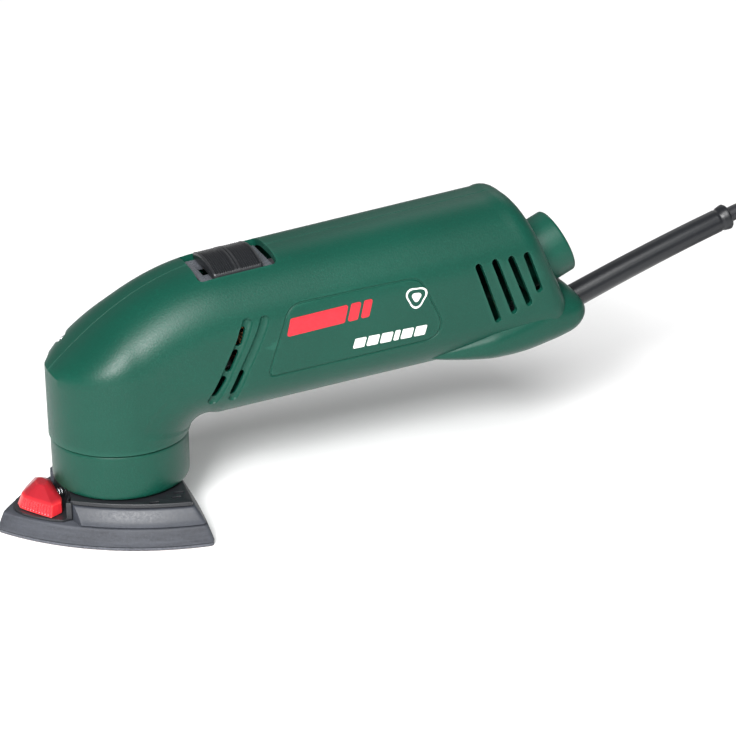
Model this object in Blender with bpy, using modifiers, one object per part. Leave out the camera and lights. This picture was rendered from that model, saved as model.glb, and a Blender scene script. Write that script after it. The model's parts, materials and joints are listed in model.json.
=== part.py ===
"""Detail (delta) sander: clamshell housing with a right-angle head, motor, bevel drive, eccentric
spindle, orbiting delta pad with a sprung release catch, slide switch, dust outlet and mains lead.

Frame: millimetres in the constants, metres in the scene. x = 0, y = 0 is the spindle axis, z = 0 is
the working face of the abrasive sheet, +X runs from the head to the tail of the handle.
"""

import math

import bmesh
import bpy
import numpy as np
from mathutils import Matrix, Vector

MM = 0.001

# ---- driving dimensions (mm) ----
TILT = 6.0                      # handle and motor axis rise towards the tail
HEAD_R = 30.0                   # radius of the head, half width of its plan
HANDLE_HALF = 29.5              # half width of the handle
WALL = 2.6
HEAD_BOTTOM = 40.0              # lower rim of the housing's head
ELBOW = (36.5, 39.5)            # centre of the inner corner between head and handle
ELBOW_R = 6.5
CREASE_Z = 70.0                 # height of the crease round the front of the head
ROOF_START = (-30.0, 70.1)
ROOF_KNEE = (42.0, 110.2)
ROOF_SLOPE = 0.105
SHOULDER = 26.0                 # drop of the rounded shoulders below the roof line
BELLY_START = (40.0, 45.6)
BELLY_SLOPE = 0.078
BELLY_FILLET = 20.0
TAIL_TILT = 25.0                # the tail face leans forwards at the top
TAIL_POINT = (186.0, 105.0)     # a point on the tail face
TAIL_EDGE = 9.0
BOSS_X = (128.0, 210.0)         # swelling round the cord entry
BOSS_LOW = 51.8
SPLIT_GAP = 0.3                 # gap between the two clamshell halves

COLLAR_R = 29.3
COLLAR_Z0, COLLAR_Z1 = 18.7, 39.2

PLATE_CORNERS = ((-55.8, 0.0), (26.6, -47.0), (26.6, 47.0))   # delta, tip to the front
PLATE_SAGS = (10.4, 3.2, 10.4)  # bulge of each side
SHEET_T = 1.2
PAD_Z0, PAD_Z1 = 1.5, 8.8
SHOE_Z0, SHOE_Z1 = 9.1, 16.0
COVER_Z0, COVER_Z1 = 16.3, 18.1

ECC = 0.75                      # eccentricity: 1.5 mm orbit
APEX_Z = 73.0                   # where motor and spindle axes meet
GEAR_TEETH, PINION_TEETH = 24, 12
CONE_OUT, CONE_IN = 17.2, 12.4
SHAFT_R = 3.5
SWITCH_TRAVEL = 6.0
CATCH_TRAVEL = 2.5

CORD_D = 7.0
COIL_C = (374.0, 0.0)
COIL_MEAN, COIL_HALF, COIL_H = 42.0, 10.8, 21.3

tilt = math.radians(TILT)
AX = np.array([math.cos(tilt), 0.0, math.sin(tilt)])          # motor axis, towards the tail
UP = np.array([-math.sin(tilt), 0.0, math.cos(tilt)])         # square to it, upwards
YY = np.array([0.0, 1.0, 0.0])
APEX = np.array([0.0, 0.0, APEX_Z])

for old in list(bpy.data.objects):
    bpy.data.objects.remove(old)
scene = bpy.context.scene
parts = bpy.data.collections.new("detail_sander")
cutters = bpy.data.collections.new("cutters")
scene.collection.children.link(parts)
scene.collection.children.link(cutters)


# ---- materials ----
def material(name, colour, rough, metal=0.0):
    m = bpy.data.materials.get(name) or bpy.data.materials.new(name)
    m.use_nodes = True
    b = m.node_tree.nodes["Principled BSDF"]
    b.inputs["Base Color"].default_value = (*colour, 1.0)
    b.inputs["Roughness"].default_value = rough
    b.inputs["Metallic"].default_value = metal
    m.diffuse_color = (*colour, 1.0)
    return m


GREEN = material("green_shell", (0.012, 0.105, 0.062), 0.42)
BLACK = material("black_plastic", (0.02, 0.021, 0.024), 0.4)
RUBBER = material("black_rubber", (0.018, 0.019, 0.024), 0.6)
RED = material("red_catch", (0.72, 0.03, 0.025), 0.35)
GREY = material("grey_shoe", (0.13, 0.135, 0.145), 0.45)
DARK = material("dark_pad", (0.07, 0.07, 0.075), 0.8)
GRIT = material("abrasive", (0.30, 0.13, 0.06), 0.95)
STEEL = material("steel", (0.55, 0.56, 0.58), 0.3, 1.0)
LAMINATE = material("laminations", (0.32, 0.33, 0.35), 0.5, 1.0)
COPPER = material("copper_winding", (0.72, 0.32, 0.16), 0.35, 1.0)
BRASS = material("brass", (0.78, 0.60, 0.28), 0.3, 1.0)
ALU = material("cast_aluminium", (0.62, 0.63, 0.65), 0.45, 1.0)
CARBON = material("carbon", (0.03, 0.03, 0.032), 0.55)
FANP = material("fan_plastic", (0.06, 0.06, 0.065), 0.5)
BLUE = material("capacitor_case", (0.55, 0.42, 0.10), 0.4)


# ---- helpers ----
def place(obj, mat, where=parts):
    where.objects.link(obj)
    if mat is not None:
        obj.data.materials.append(mat)
    if where is cutters:
        obj.hide_render = True
        obj.display_type = "WIRE"
    return obj


def finish_mesh(name, bm, mat, where=parts, smooth=35.0):
    bmesh.ops.remove_doubles(bm, verts=bm.verts, dist=1e-6)
    bmesh.ops.recalc_face_normals(bm, faces=bm.faces)
    me = bpy.data.meshes.new(name)
    bm.to_mesh(me)
    bm.free()
    me.shade_smooth()
    me.set_sharp_from_angle(angle=math.radians(smooth))
    return place(bpy.data.objects.new(name, me), mat, where)


def frame_to(axis, origin, ref=None):
    """Matrix whose local Z is axis, at origin in mm."""
    z = Vector(axis).normalized()
    x = Vector(ref) if ref is not None else (Vector((0, 1, 0)) if abs(z.y) < 0.9 else Vector((1, 0, 0)))
    x = (x - z * x.dot(z)).normalized()
    y = z.cross(x)
    m = Matrix((x, y, z)).transposed().to_4x4()
    m.translation = Vector(origin) * MM
    return m


def cyl(name, p0, p1, r0, mat, r1=None, seg=24, where=parts, spin=0.0):
    """Cylinder or cone from p0 to p1, in mm."""
    p0, p1 = Vector(p0), Vector(p1)
    d = p1 - p0
    bm = bmesh.new()
    bmesh.ops.create_cone(bm, cap_ends=True, segments=seg, radius1=r0 * MM,
                          radius2=(r0 if r1 is None else r1) * MM, depth=d.length * MM,
                          matrix=Matrix.Rotation(spin, 4, "Z"))
    ob = finish_mesh(name, bm, mat, where)
    ob.matrix_world = frame_to(d, (p0 + p1) / 2)
    return ob


def box(name, lo, hi, mat, where=parts, matrix=None, bevel=0.0):
    """Box between two corners in mm, optionally in a local frame."""
    lo, hi = Vector(lo) * MM, Vector(hi) * MM
    bm = bmesh.new()
    bmesh.ops.create_cube(bm, size=1.0)
    bmesh.ops.scale(bm, verts=bm.verts, vec=hi - lo)
    bmesh.ops.translate(bm, verts=bm.verts, vec=(lo + hi) / 2)
    if bevel:
        bmesh.ops.bevel(bm, geom=bm.edges[:], offset=bevel * MM, segments=2, profile=0.5, affect="EDGES")
    ob = finish_mesh(name, bm, mat, where)
    if matrix is not None:
        ob.matrix_world = matrix
    return ob


def turned(name, profile, mat, matrix=None, seg=32, where=parts):
    """Closed (r, z) outline in mm, given outer side top to bottom, turned about local Z."""
    me = bpy.data.meshes.new(name)
    pts = [(r * MM, 0.0, z * MM) for r, z in profile]
    ring = all(r > 1e-6 for r, z in profile)
    edges = [(i, i + 1) for i in range(len(pts) - 1)] + ([(len(pts) - 1, 0)] if ring else [])
    me.from_pydata(pts, edges, [])
    ob = place(bpy.data.objects.new(name, me), mat, where)
    s = ob.modifiers.new("turn", "SCREW")
    s.axis = "Z"
    s.steps = s.render_steps = seg
    s.use_merge_vertices = True
    s.merge_threshold = 1e-6
    s.use_smooth_shade = True
    if matrix is not None:
        ob.matrix_world = matrix
    return ob


def washer(name, r_in, r_out, z0, z1, mat, matrix=None, seg=28, edge=0.4, where=parts):
    e = edge
    prof = [(r_in, z1), (r_out - e, z1), (r_out, z1 - e), (r_out, z0 + e), (r_out - e, z0), (r_in, z0)]
    return turned(name, prof, mat, matrix, seg, where)


def solid_mesh(obj, weld=1e-6):
    """Evaluated copy of an object as a plain mesh object, with its caps welded."""
    bpy.context.view_layer.update()
    graph = bpy.context.evaluated_depsgraph_get()
    me = bpy.data.meshes.new_from_object(obj.evaluated_get(graph))
    bm = bmesh.new()
    bm.from_mesh(me)
    bmesh.ops.remove_doubles(bm, verts=bm.verts, dist=weld)
    bmesh.ops.recalc_face_normals(bm, faces=bm.faces)
    bm.to_mesh(me)
    bm.free()
    new = bpy.data.objects.new(obj.name + "_solid", me)
    new.matrix_world = obj.matrix_world.copy()
    for coll in list(obj.users_collection):
        coll.objects.link(new)
    new.hide_render = obj.hide_render
    new.display_type = obj.display_type
    name = obj.name
    bpy.data.objects.remove(obj)
    new.name = name
    me.name = name
    return new


def slab(name, outline, z0, z1, mat, holes=(), where=parts, matrix=None, bevel=0.0):
    """Flat outline in mm (x, y), extruded from z0 to z1."""
    cu = bpy.data.curves.new(name, "CURVE")
    cu.dimensions = "2D"
    cu.fill_mode = "BOTH"
    cu.extrude = (z1 - z0) / 2 * MM
    for loop in (outline, *holes):
        sp = cu.splines.new("POLY")
        sp.points.add(len(loop) - 1)
        for p, (x, y) in zip(sp.points, loop):
            p.co = (x * MM, y * MM, 0.0, 1.0)
        sp.use_cyclic_u = True
    ob = place(bpy.data.objects.new(name, cu), mat, where)
    ob.matrix_world = (matrix or Matrix()) @ Matrix.Translation((0, 0, (z0 + z1) / 2 * MM))
    ob = solid_mesh(ob)
    if bevel:
        b = ob.modifiers.new("edge", "BEVEL")
        b.width = bevel * MM
        b.segments = 1
        b.limit_method = "ANGLE"
        b.angle_limit = math.radians(60)
    return ob


def tube(name, pts, r, mat, res=2, where=parts):
    cu = bpy.data.curves.new(name, "CURVE")
    cu.dimensions = "3D"
    cu.bevel_depth = r * MM
    cu.bevel_resolution = res
    cu.use_fill_caps = True
    sp = cu.splines.new("POLY")
    sp.points.add(len(pts) - 1)
    for p, q in zip(sp.points, pts):
        p.co = (q[0] * MM, q[1] * MM, q[2] * MM, 1.0)
    return solid_mesh(place(bpy.data.objects.new(name, cu), mat, where))


def boolean(obj, tool, operation="DIFFERENCE"):
    m = obj.modifiers.new(tool.name, "BOOLEAN")
    m.operation = operation
    m.object = tool
    m.solver = "EXACT"
    return m


def smooth_route(points, n):
    """n points of a Catmull-Rom curve through the given ones, evenly spread along its length."""
    p = np.array([2 * np.array(points[0]) - points[1], *points, 2 * np.array(points[-1]) - points[-2]], float)
    dense = []
    for i in range(1, len(p) - 2):
        for t in np.linspace(0, 1, 24, endpoint=False):
            a, b, c, d = p[i - 1 : i + 3]
            dense.append(0.5 * (2 * b + (c - a) * t + (2 * a - 5 * b + 4 * c - d) * t**2 + (3 * b - a - 3 * c + d) * t**3))
    dense.append(p[-2])
    dense = np.array(dense)
    s = np.concatenate([[0], np.cumsum(np.linalg.norm(np.diff(dense, axis=0), axis=1))])
    want = np.linspace(0, s[-1], n)
    return np.stack([np.interp(want, s, dense[:, k]) for k in range(3)], 1)


def circle(r, n, cx=0.0, cy=0.0, start=0.0):
    return [(cx + r * math.cos(start + 2 * math.pi * i / n), cy + r * math.sin(start + 2 * math.pi * i / n)) for i in range(n)]


# ---- housing surface ----
def roof(x):
    """Height of the top seam line at x."""
    (x0, z0), (x1, z1) = ROOF_START, ROOF_KNEE
    t = np.clip((x - x0) / (x1 - x0), -0.2, 1.0)
    L = x1 - x0
    h = (2 * t**3 - 3 * t**2 + 1) * z0 + (t**3 - 2 * t**2 + t) * L * 1.0 + (3 * t**2 - 2 * t**3) * z1 + (t**3 - t**2) * L * ROOF_SLOPE
    return np.where(x > x1, z1 + (x - x1) * ROOF_SLOPE, h)


def belly(x):
    """Height of the underside's middle line at x."""
    return BELLY_START[1] + (x - BELLY_START[0]) * BELLY_SLOPE


def half_plan(x):
    w = np.sqrt(np.maximum(HEAD_R**2 - np.minimum(x, 0.0) ** 2, 1e-9))
    t = np.clip(x / 40.0, 0, 1)
    return w - (HEAD_R - HANDLE_HALF) * t


def inside(p, fan, inset=0.0, r_in=None):
    """Whether points p (n, 3) of the section plane at angle fan (rad, 0 = level) lie in the solid, shrunk by inset."""
    x, y, z = p.T
    y = np.abs(y)
    head = HEAD_R - inset
    w = np.sqrt(np.maximum(head**2 - np.minimum(x, 0.0) ** 2, 0.0)) - (HEAD_R - HANDLE_HALF) * np.clip(x / 40.0, 0, 1)
    ok = (y <= w) & (x >= -head)
    zt = roof(x) - inset * 1.15
    drop = np.clip(roof(x) - CREASE_Z, 0.0, SHOULDER)
    s = np.clip(y / np.maximum(w, 1e-6), 0, 1)
    flat = 0.12
    q = np.clip((s - flat) / (1 - flat), 0, 1)
    ok &= z <= zt - drop * (1 - np.sqrt(np.maximum(1 - q**2.1, 0)))
    return ok


def section(origin, u, inner, fillet, inset, n, fan, limit=None):
    """Outline of n points of the section plane spanned by u (in the xz plane) and y. inner is the distance from origin to the inner (lower) side."""
    origin, u = np.asarray(origin, float), np.asarray(u, float)
    far = 95.0
    ang = np.pi * 2 * np.arange(n) / n + 1e-4
    # centre of the section: half way between inner side and roof on the middle line
    t = np.linspace(inner + 1, far, 400)
    pts = origin + t[:, None] * u
    good = inside(pts, fan, inset)
    top = t[good].max() if good.any() else inner + 20
    c = (inner + inset + top) / 2
    half_h = (top - inner - inset) / 2
    lo, hi = np.zeros(n), np.full(n, 90.0)
    dy, ds = np.sin(ang), -np.cos(ang)
    # spread the rays evenly over the outline rather than over angle
    aspect = half_h / (HANDLE_HALF - inset)
    ds = ds * aspect
    base = HANDLE_HALF - inset if fan > 0.2 else HEAD_R - inset
    for _ in range(34):
        mid = (lo + hi) / 2
        y, s = mid * dy, c + mid * ds
        p = origin + s[:, None] * u + y[:, None] * YY
        ok = inside(p, fan, inset) & (s >= inner + inset)
        d = s - inner - inset
        r = max(fillet - inset, 1.0)
        edge = np.where(d < r, (base - r) + np.sqrt(np.maximum(r**2 - (r - d) ** 2, 0)), base + 5)
        ok &= np.abs(y) <= edge
        lo, hi = np.where(ok, mid, lo), np.where(ok, hi, mid)
    y, s = lo * dy, c + lo * ds
    return origin + s[:, None] * u + y[:, None] * YY


def spine(n_fan, n_run, inset, n, start_drop=0.0):
    """Section outlines from the head's rim, round the elbow and along the handle to the tail."""
    rings = []
    C = np.array([ELBOW[0], 0.0, ELBOW[1]])
    if start_drop:
        u = np.array([-1.0, 0.0, 0.0])
        ring = section(C, u, ELBOW_R, HEAD_R, inset, n, 0.0)
        ring[:, 2] -= start_drop
        rings.append(ring)
    end = math.radians(90 - TILT)
    for k in range(n_fan + 1):
        a = end * k / n_fan
        u = np.array([-math.cos(a), 0.0, math.sin(a)])
        t = a / end
        fil = HEAD_R + (BELLY_FILLET - HEAD_R) * t
        rings.append(section(C, u, ELBOW_R, fil, inset, n, a))
    u = UP
    # along the handle, planes square to the axis, then leaning to the tail face
    base = C + UP * ELBOW_R
    tail_n = np.array([math.cos(math.radians(TAIL_TILT)), 0.0, math.sin(math.radians(TAIL_TILT))])
    T = np.array([TAIL_POINT[0], 0.0, TAIL_POINT[1]])
    for k in range(1, n_run + 1):
        f = k / n_run
        lean = math.radians(TILT + (TAIL_TILT - TILT) * min(1.0, f * 1.02) ** 2)
        uu = np.array([-math.sin(lean), 0.0, math.cos(lean)])
        # point of the underside line for this station
        x_end = T[0] + (T[2] - belly(T[0] + 20)) * math.tan(math.radians(TAIL_TILT)) - TAIL_EDGE / math.cos(math.radians(TAIL_TILT))
        x = base[0] + (x_end - base[0]) * f
        o = np.array([x, 0.0, belly(x)])
        rings.append(section(o - uu * 5.0, uu, 5.0, BELLY_FILLET, inset, n, 1.5))
    return rings


def cap_rings(ring, steps, radius, push):
    """Rounds the last outline over an edge radius towards direction push."""
    out = []
    c = ring.mean(0)
    nxt, prv = np.roll(ring, -1, 0), np.roll(ring, 1, 0)
    tang = nxt - prv
    nrm = np.cross(tang, push)
    nrm /= np.linalg.norm(nrm, axis=1)[:, None]
    flip = np.sign(((ring - c) * nrm).sum(1))[:, None]
    nrm *= flip
    for k in range(1, steps + 1):
        a = math.pi / 2 * k / steps
        out.append(ring - nrm * radius * (1 - math.cos(a)) + push * radius * math.sin(a))
    return out


def loft(name, rings, mat, where=parts):
    """Closed solid through outlines that have the same number of points."""
    bm = bmesh.new()
    rows = [[bm.verts.new(Vector(p) * MM) for p in r] for r in rings]
    n = len(rows[0])
    for a, b in zip(rows, rows[1:]):
        for i in range(n):
            j = (i + 1) % n
            bm.faces.new((a[i], a[j], b[j], b[i]))
    bm.faces.new(rows[0][::-1])
    bm.faces.new(rows[-1])
    return finish_mesh(name, bm, mat, where)


tail_dir = np.array([math.cos(math.radians(TAIL_TILT)), 0.0, math.sin(math.radians(TAIL_TILT))])


def body_rings(n_fan, n_run, n, inset=0.0, drop=0.0):
    rings = spine(n_fan, n_run, inset, n, drop)
    edge = TAIL_EDGE - inset
    rings += cap_rings(rings[-1], 3, max(edge, 1.0), tail_dir)
    return rings


def boss_rings(n, inset=0.0):
    """Swelling at the lower rear that carries the cord: oval outlines square to X."""
    rings = []
    stations = (0.0, 0.16, 0.32, 0.48, 0.64, 0.78, 0.88, 0.95, 0.985, 1.0)
    for f in stations[1:-2] if inset else stations:
        x = BOSS_X[0] + (BOSS_X[1] - BOSS_X[0]) * f
        bottom = BOSS_LOW + (0.0031 if x < 172.0 else 0.0065) * (x - 172.0) ** 2
        top = 60.0 + 22.0 * min(1.0, f / 0.75) - 4.0 * max(0.0, f - 0.75) / 0.25
        half = 21.0 + 9.7 * min(1.0, f / 0.42) ** 0.8 - 5.2 * f**3.4
        end = max(0.0, (f - 0.9) / 0.1)
        edge = 6.5 * (1 - math.sqrt(max(0.0, 1 - end**2)))
        hw, hh, cz = half - inset - edge, (top - bottom) / 2 - inset - edge, (top + bottom) / 2
        e = 2.0 / 2.7
        ring = []
        for i in range(n):
            ca, sa = math.cos(2 * math.pi * i / n), math.sin(2 * math.pi * i / n)
            ring.append((x, hw * math.copysign(abs(sa) ** e, sa), cz - hh * math.copysign(abs(ca) ** e, ca)))
        rings.append(np.array(ring))
    return rings


N_RING = 24
outer = loft("housing_outer", body_rings(6, 5, N_RING), GREEN, cutters)
outer_boss = loft("housing_boss", boss_rings(20), GREEN, cutters)
cavity = loft("housing_cavity", body_rings(5, 4, 20, WALL, 6.0), None, cutters)
cavity_boss = loft("housing_boss_cavity", boss_rings(16, WALL), None, cutters)


def along(s, r=0.0, y=0.0):
    """Point at distance s along the motor axis, r above it and y to the side."""
    return APEX + AX * s + UP * r + YY * y


# screw bosses and bearing ribs are left standing when the hollow is cut
SCREWS = [(-17.5, 76.0), (50.3, 53.4), (102.0, 58.5), (164.0, 113.5), (197.0, 61.5)]
hollow = cavity
boolean(hollow, cavity_boss, "UNION")
for i, (sx, sz) in enumerate(SCREWS):
    boolean(hollow, cyl(f"screw_boss_{i}", (sx, -32, sz), (sx, 32, sz), 4.8, None, seg=12, where=cutters))
RIBS = [(25.6, 29.8, 11.4), (60.0, 62.5, 23.4), (86.0, 88.5, 23.4), (121.2, 124.8, 9.9)]
for i, (s0, s1, r) in enumerate(RIBS):
    rib = cyl(f"rib_{i}", along(s0), along(s1), 60.0, None, seg=24, where=cutters)
    hole = cyl(f"rib_hole_{i}", along(s0 - 1), along(s1 + 1), r, None, seg=28, where=cutters)
    boolean(rib, hole)
    keep = box(f"rib_keep_{i}", along(s0 - 5, -24, -40), along(s1 + 5, 24, 40), None, cutters)
    boolean(hollow, rib)
hollow = solid_mesh(hollow, 1e-8)

shell = outer
boolean(shell, outer_boss, "UNION")
boolean(shell, hollow)

# switch window, vents, outlet, cord hole and screw holes
SLIDE_X, SLIDE_Z = 50.0, 110.9
to_roof = frame_to(UP, (SLIDE_X, 0, SLIDE_Z), AX)
boolean(shell, box("switch_window", (-17.8, -15.8, -13.1), (17.0, 15.8, 10.0), None, cutters, to_roof, bevel=2.5))


def vent(name, top, bottom, w, y0, y1):
    """Slot between two (x, z) points, cut across from y0 to y1."""
    (xa, za), (xb, zb) = top, bottom
    d = np.array([xb - xa, zb - za])
    L = np.linalg.norm(d)
    d /= L
    nrm = np.array([-d[1], d[0]])
    pts = []
    for end, sgn in (((xa, za), -1), ((xb, zb), 1)):
        for k in range(4):
            a = -math.pi / 2 + math.pi * k / 3
            v = d * math.cos(a) * sgn + nrm * math.sin(a) * sgn
            pts.append((end[0] + v[0] * w / 2, end[1] + v[1] * w / 2))
    m = Matrix(((1, 0, 0, 0), (0, 0, -1, 0), (0, 1, 0, 0), (0, 0, 0, 1)))
    return slab(name, pts, -y1, -y0, None, where=cutters, matrix=m)


REAR_VENTS = [((153.4, 100.3), (163.0, 75.0)), ((161.2, 101.3), (170.6, 78.0)), ((168.8, 101.7), (177.8, 80.6)), ((176.2, 102.4), (182.6, 86.2))]
for i, (a, b) in enumerate(REAR_VENTS):
    for side, (y0, y1) in (("l", (-40, -20)), ("r", (20, 40))):
        boolean(shell, vent(f"vent_rear_{i}_{side}", a, b, 3.0, y0, y1))
FRONT_VENTS = [((46.6, 87.6), (44.9, 82.1)), ((43.2, 78.0), (40.1, 71.3)), ((37.7, 66.8), (34.0, 60.6)), ((45.6, 68.4), (41.9, 60.6))]
for i, (a, b) in enumerate(FRONT_VENTS):
    for side, (y0, y1) in (("l", (-40, -20)), ("r", (20, 40))):
        boolean(shell, vent(f"vent_front_{i}_{side}", a, b, 3.0, y0, y1))

boolean(shell, box("link_way", (-21.4, -3.9, -11.6), (91.6, 3.9, -6.1), None, cutters, to_roof))
tail_mid = np.array([191.3, 0.0, 89.4])
NOZZLE_C = tail_mid
nozzle_hole = turned("nozzle_hole", [(0, 32.0), (15.35, 32.0), (15.35, 0.25), (13.6, 0.25), (13.6, -25.0), (0, -25.0)], None, frame_to(tail_dir, tail_mid), 28, cutters)
boolean(shell, solid_mesh(nozzle_hole))
guard_dir = np.array([math.cos(math.radians(21)), 0.0, math.sin(math.radians(21))])
GUARD_START = np.array([196.0, 0.0, 60.2])
boolean(shell, cyl("guard_hole", GUARD_START + guard_dir * 6, GUARD_START + guard_dir * 40, 6.0, None, seg=20, where=cutters))
shell = solid_mesh(shell, 1e-8)


left = bpy.data.objects.new("left_blank", shell.data.copy())
place(left, None, cutters)
boolean(left, box("left_away", (-70, -SPLIT_GAP / 2, -5), (270, 62, 165), None, cutters))
left = solid_mesh(left, 1e-8)


def half_of(name, mirror):
    """One clamshell half with its screw holes; the right half is the left one mirrored and countersunk."""
    me = left.data.copy()
    if mirror:
        me.transform(Matrix.Diagonal((1, -1, 1, 1)))
        me.flip_normals()
    ob = place(bpy.data.objects.new(name, me), None)
    me.materials.clear()
    me.materials.append(GREEN)
    for i, (sx, sz) in enumerate(SCREWS):
        boolean(ob, cyl(f"{name}_hole_{i}", (sx, -12, sz), (sx, 60, sz), 1.95, None, seg=8, where=cutters))
        if mirror:
            boolean(ob, cyl(f"{name}_sink_{i}", (sx, 12.5, sz), (sx, 60, sz), 3.8, None, seg=12, where=cutters))
    me.shade_smooth()
    return ob


half_of("housing_left", False)
half_of("housing_right", True)

# ---- head: collar, gear carrier, bearings ----
turned("head_collar", [
    (24.4, 49.0), (26.9, 49.0), (26.9, COLLAR_Z1), (COLLAR_R, COLLAR_Z1), (COLLAR_R, COLLAR_Z0 + 1.2),
    (COLLAR_R - 0.8, COLLAR_Z0), (26.6, COLLAR_Z0), (26.6, 37.0), (24.4, 38.5)], GREEN, seg=28)
turned("gear_carrier", [
    (11.3, 62.0), (14.0, 62.0), (14.0, 52.6), (26.6, 52.6), (26.6, 49.4), (24.0, 49.4), (24.0, 46.0), (14.0, 44.0), (14.0, 38.8), (9.6, 38.8),
    (9.6, 40.0), (11.3, 40.0)], ALU, seg=24)


def bearing(name, r_in, r_out, z0, z1, matrix=None):
    e = (r_out - r_in) * 0.3
    return turned(name, [
        (r_in, z1 - 0.4), (r_in + e, z1 - 0.4), (r_out - e, z1), (r_out, z1), (r_out, z0), (r_in, z0)],
        STEEL, matrix, 20)


bearing("spindle_bearing_lower", 4.3, 11.0, 40.3, 47.3)
bearing("spindle_bearing_upper", 4.3, 11.0, 52.3, 59.3)
MOTOR = frame_to(AX, APEX, UP)
bearing("motor_bearing_front", SHAFT_R + 0.3, 11.0, 24.3, 31.3, MOTOR)
bearing("motor_bearing_rear", SHAFT_R + 0.3, 9.5, 120.0, 126.0, MOTOR)

# ---- spindle: shaft with eccentric pin, counterweight, bevel gear ----
shaft = turned("spindle_shaft", [(0, 66.2), (3.6, 66.2), (4.0, 65.8), (4.0, 39.6), (5.5, 39.6), (5.5, 36.9), (4.0, 36.9), (4.0, 30.3), (0, 30.3)], STEEL, seg=16)
pin = cyl("eccentric_pin_shape", (ECC, 0, 21.0), (ECC, 0, 31.0), 3.0, None, seg=12, where=cutters)
shaft = solid_mesh(shaft)
boolean(shaft, pin, "UNION")
weight = slab("counterweight", [(-3.5, 8.5), (-4.5, 17.0), (-10.0, 14.5), (-14.6, 9.8), (-17.2, 3.6), (-17.2, -3.6), (-14.6, -9.8), (-10.0, -14.5), (-4.5, -17.0), (-3.5, -8.5), (4, -8.5), (8.5, -5), (9.5, 0), (8.5, 5), (4, 8.5)],
              31.2, 36.5, BRASS, holes=[circle(4.4, 14)])

gear_cone = math.atan2(math.sin(math.radians(96)), PINION_TEETH / GEAR_TEETH + math.cos(math.radians(96)))
pinion_cone = math.radians(96) - gear_cone
ADD, DED = math.radians(2.5), math.radians(3.9)


def bevel_gear(name, axis, ref, cone, teeth, phase, bore, base, mat):
    """Bevel gear with straight teeth whose flanks all point at the apex. base is the distance of its back face from the apex along axis."""
    axis, ref = np.asarray(axis, float), np.asarray(ref, float)
    ref = ref - axis * (ref @ axis)
    ref /= np.linalg.norm(ref)
    side = np.cross(axis, ref)
    pitch = 2 * math.pi / teeth
    loop = []
    for k in range(teeth):
        mid = phase + k * pitch
        for off, ang in ((-0.30, cone - DED), (-0.135, cone + ADD), (0.135, cone + ADD), (0.30, cone - DED)):
            loop.append((mid + off * pitch, ang))

    def direction(phi, theta):
        return axis * math.cos(theta) + (ref * math.cos(phi) + side * math.sin(phi)) * math.sin(theta)

    def ringp(r, h):
        return [APEX + axis * h + (ref * math.cos(phi) + side * math.sin(phi)) * r for phi, _ in loop]

    outer_r = CONE_OUT * math.sin(cone - DED) - 0.3
    rings = [ringp(bore, base),
             [APEX + direction(p, t) * CONE_IN for p, t in loop],
             [APEX + direction(p, t) * CONE_OUT for p, t in loop],
             ringp(outer_r, base)]
    bm = bmesh.new()
    rows = [[bm.verts.new(Vector(p) * MM) for p in r] for r in rings]
    n = len(loop)
    for a, b in zip(rows, rows[1:] + rows[:1]):
        for i in range(n):
            j = (i + 1) % n
            bm.faces.new((a[i], a[j], b[j], b[i]))
    return finish_mesh(name, bm, mat, smooth=20)


bevel_gear("bevel_gear", (0, 0, -1), (1, 0, 0), gear_cone, GEAR_TEETH, math.pi / GEAR_TEETH, 4.3, 10.2, STEEL)
bevel_gear("drive_pinion", AX, -UP, pinion_cone, PINION_TEETH, 0.0, SHAFT_R + 0.3, 17.6, BRASS)

# ---- motor ----
cyl("motor_shaft", along(10.0), along(129.0), SHAFT_R, STEEL, seg=16)


def armature_outline(r, slots):
    pts = []
    p = 2 * math.pi / slots
    for k in range(slots):
        a = k * p
        for off, rad in ((-0.42, r), (0.0, r), (0.42, r), (0.44, r - 2.2), (0.56, r - 2.2)):
            pts.append((rad * math.cos(a + off * p), rad * math.sin(a + off * p)))
    return pts


slab("armature_core", armature_outline(13.5, 12), 55.0, 93.0, LAMINATE, holes=[circle(SHAFT_R + 0.3, 16)], matrix=MOTOR)
washer("armature_winding_front", SHAFT_R + 0.3, 11.2, 48.5, 54.7, COPPER, MOTOR, seg=18, edge=1.8)
washer("armature_winding_rear", SHAFT_R + 0.3, 11.2, 93.3, 99.5, COPPER, MOTOR, seg=18, edge=1.8)
washer("commutator", SHAFT_R + 0.3, 10.0, 103.0, 114.0, COPPER, MOTOR, seg=20, edge=0.5)

# fan: hub, back disc and blades
fan = turned("fan", [(SHAFT_R + 0.3, 46.0), (7.5, 46.0), (9.0, 38.2), (20.8, 37.2), (20.8, 35.6), (SHAFT_R + 0.3, 35.6)], FANP, MOTOR, seg=28)
fan = solid_mesh(fan)
for k in range(9):
    blade = box(f"fan_blade_{k}", (6.6, -0.7, 36.2), (20.4, 0.7, 44.5), None, cutters, MOTOR @ Matrix.Rotation(2 * math.pi * k / 9, 4, "Z"))
    boolean(fan, blade, "UNION")

stator_pts = []
for k in range(36):
    a = 2 * math.pi * k / 36
    stator_pts.append((min(max(23.0 * math.cos(a), -20.8), 20.8), 23.0 * math.sin(a)))
bore_pts = []
for k in range(32):
    a = 2 * math.pi * k / 32
    r = 18.4 if abs(math.sin(a)) > 0.86 else 14.2
    bore_pts.append((r * math.cos(a), r * math.sin(a)))
slab("stator_core", stator_pts, 55.0, 93.0, LAMINATE, holes=[bore_pts], matrix=MOTOR)
washer("field_coil_front", 14.8, 20.2, 48.8, 54.7, COPPER, MOTOR, seg=20, edge=1.6)
washer("field_coil_rear", 14.8, 20.2, 93.3, 99.2, COPPER, MOTOR, seg=20, edge=1.6)

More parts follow.
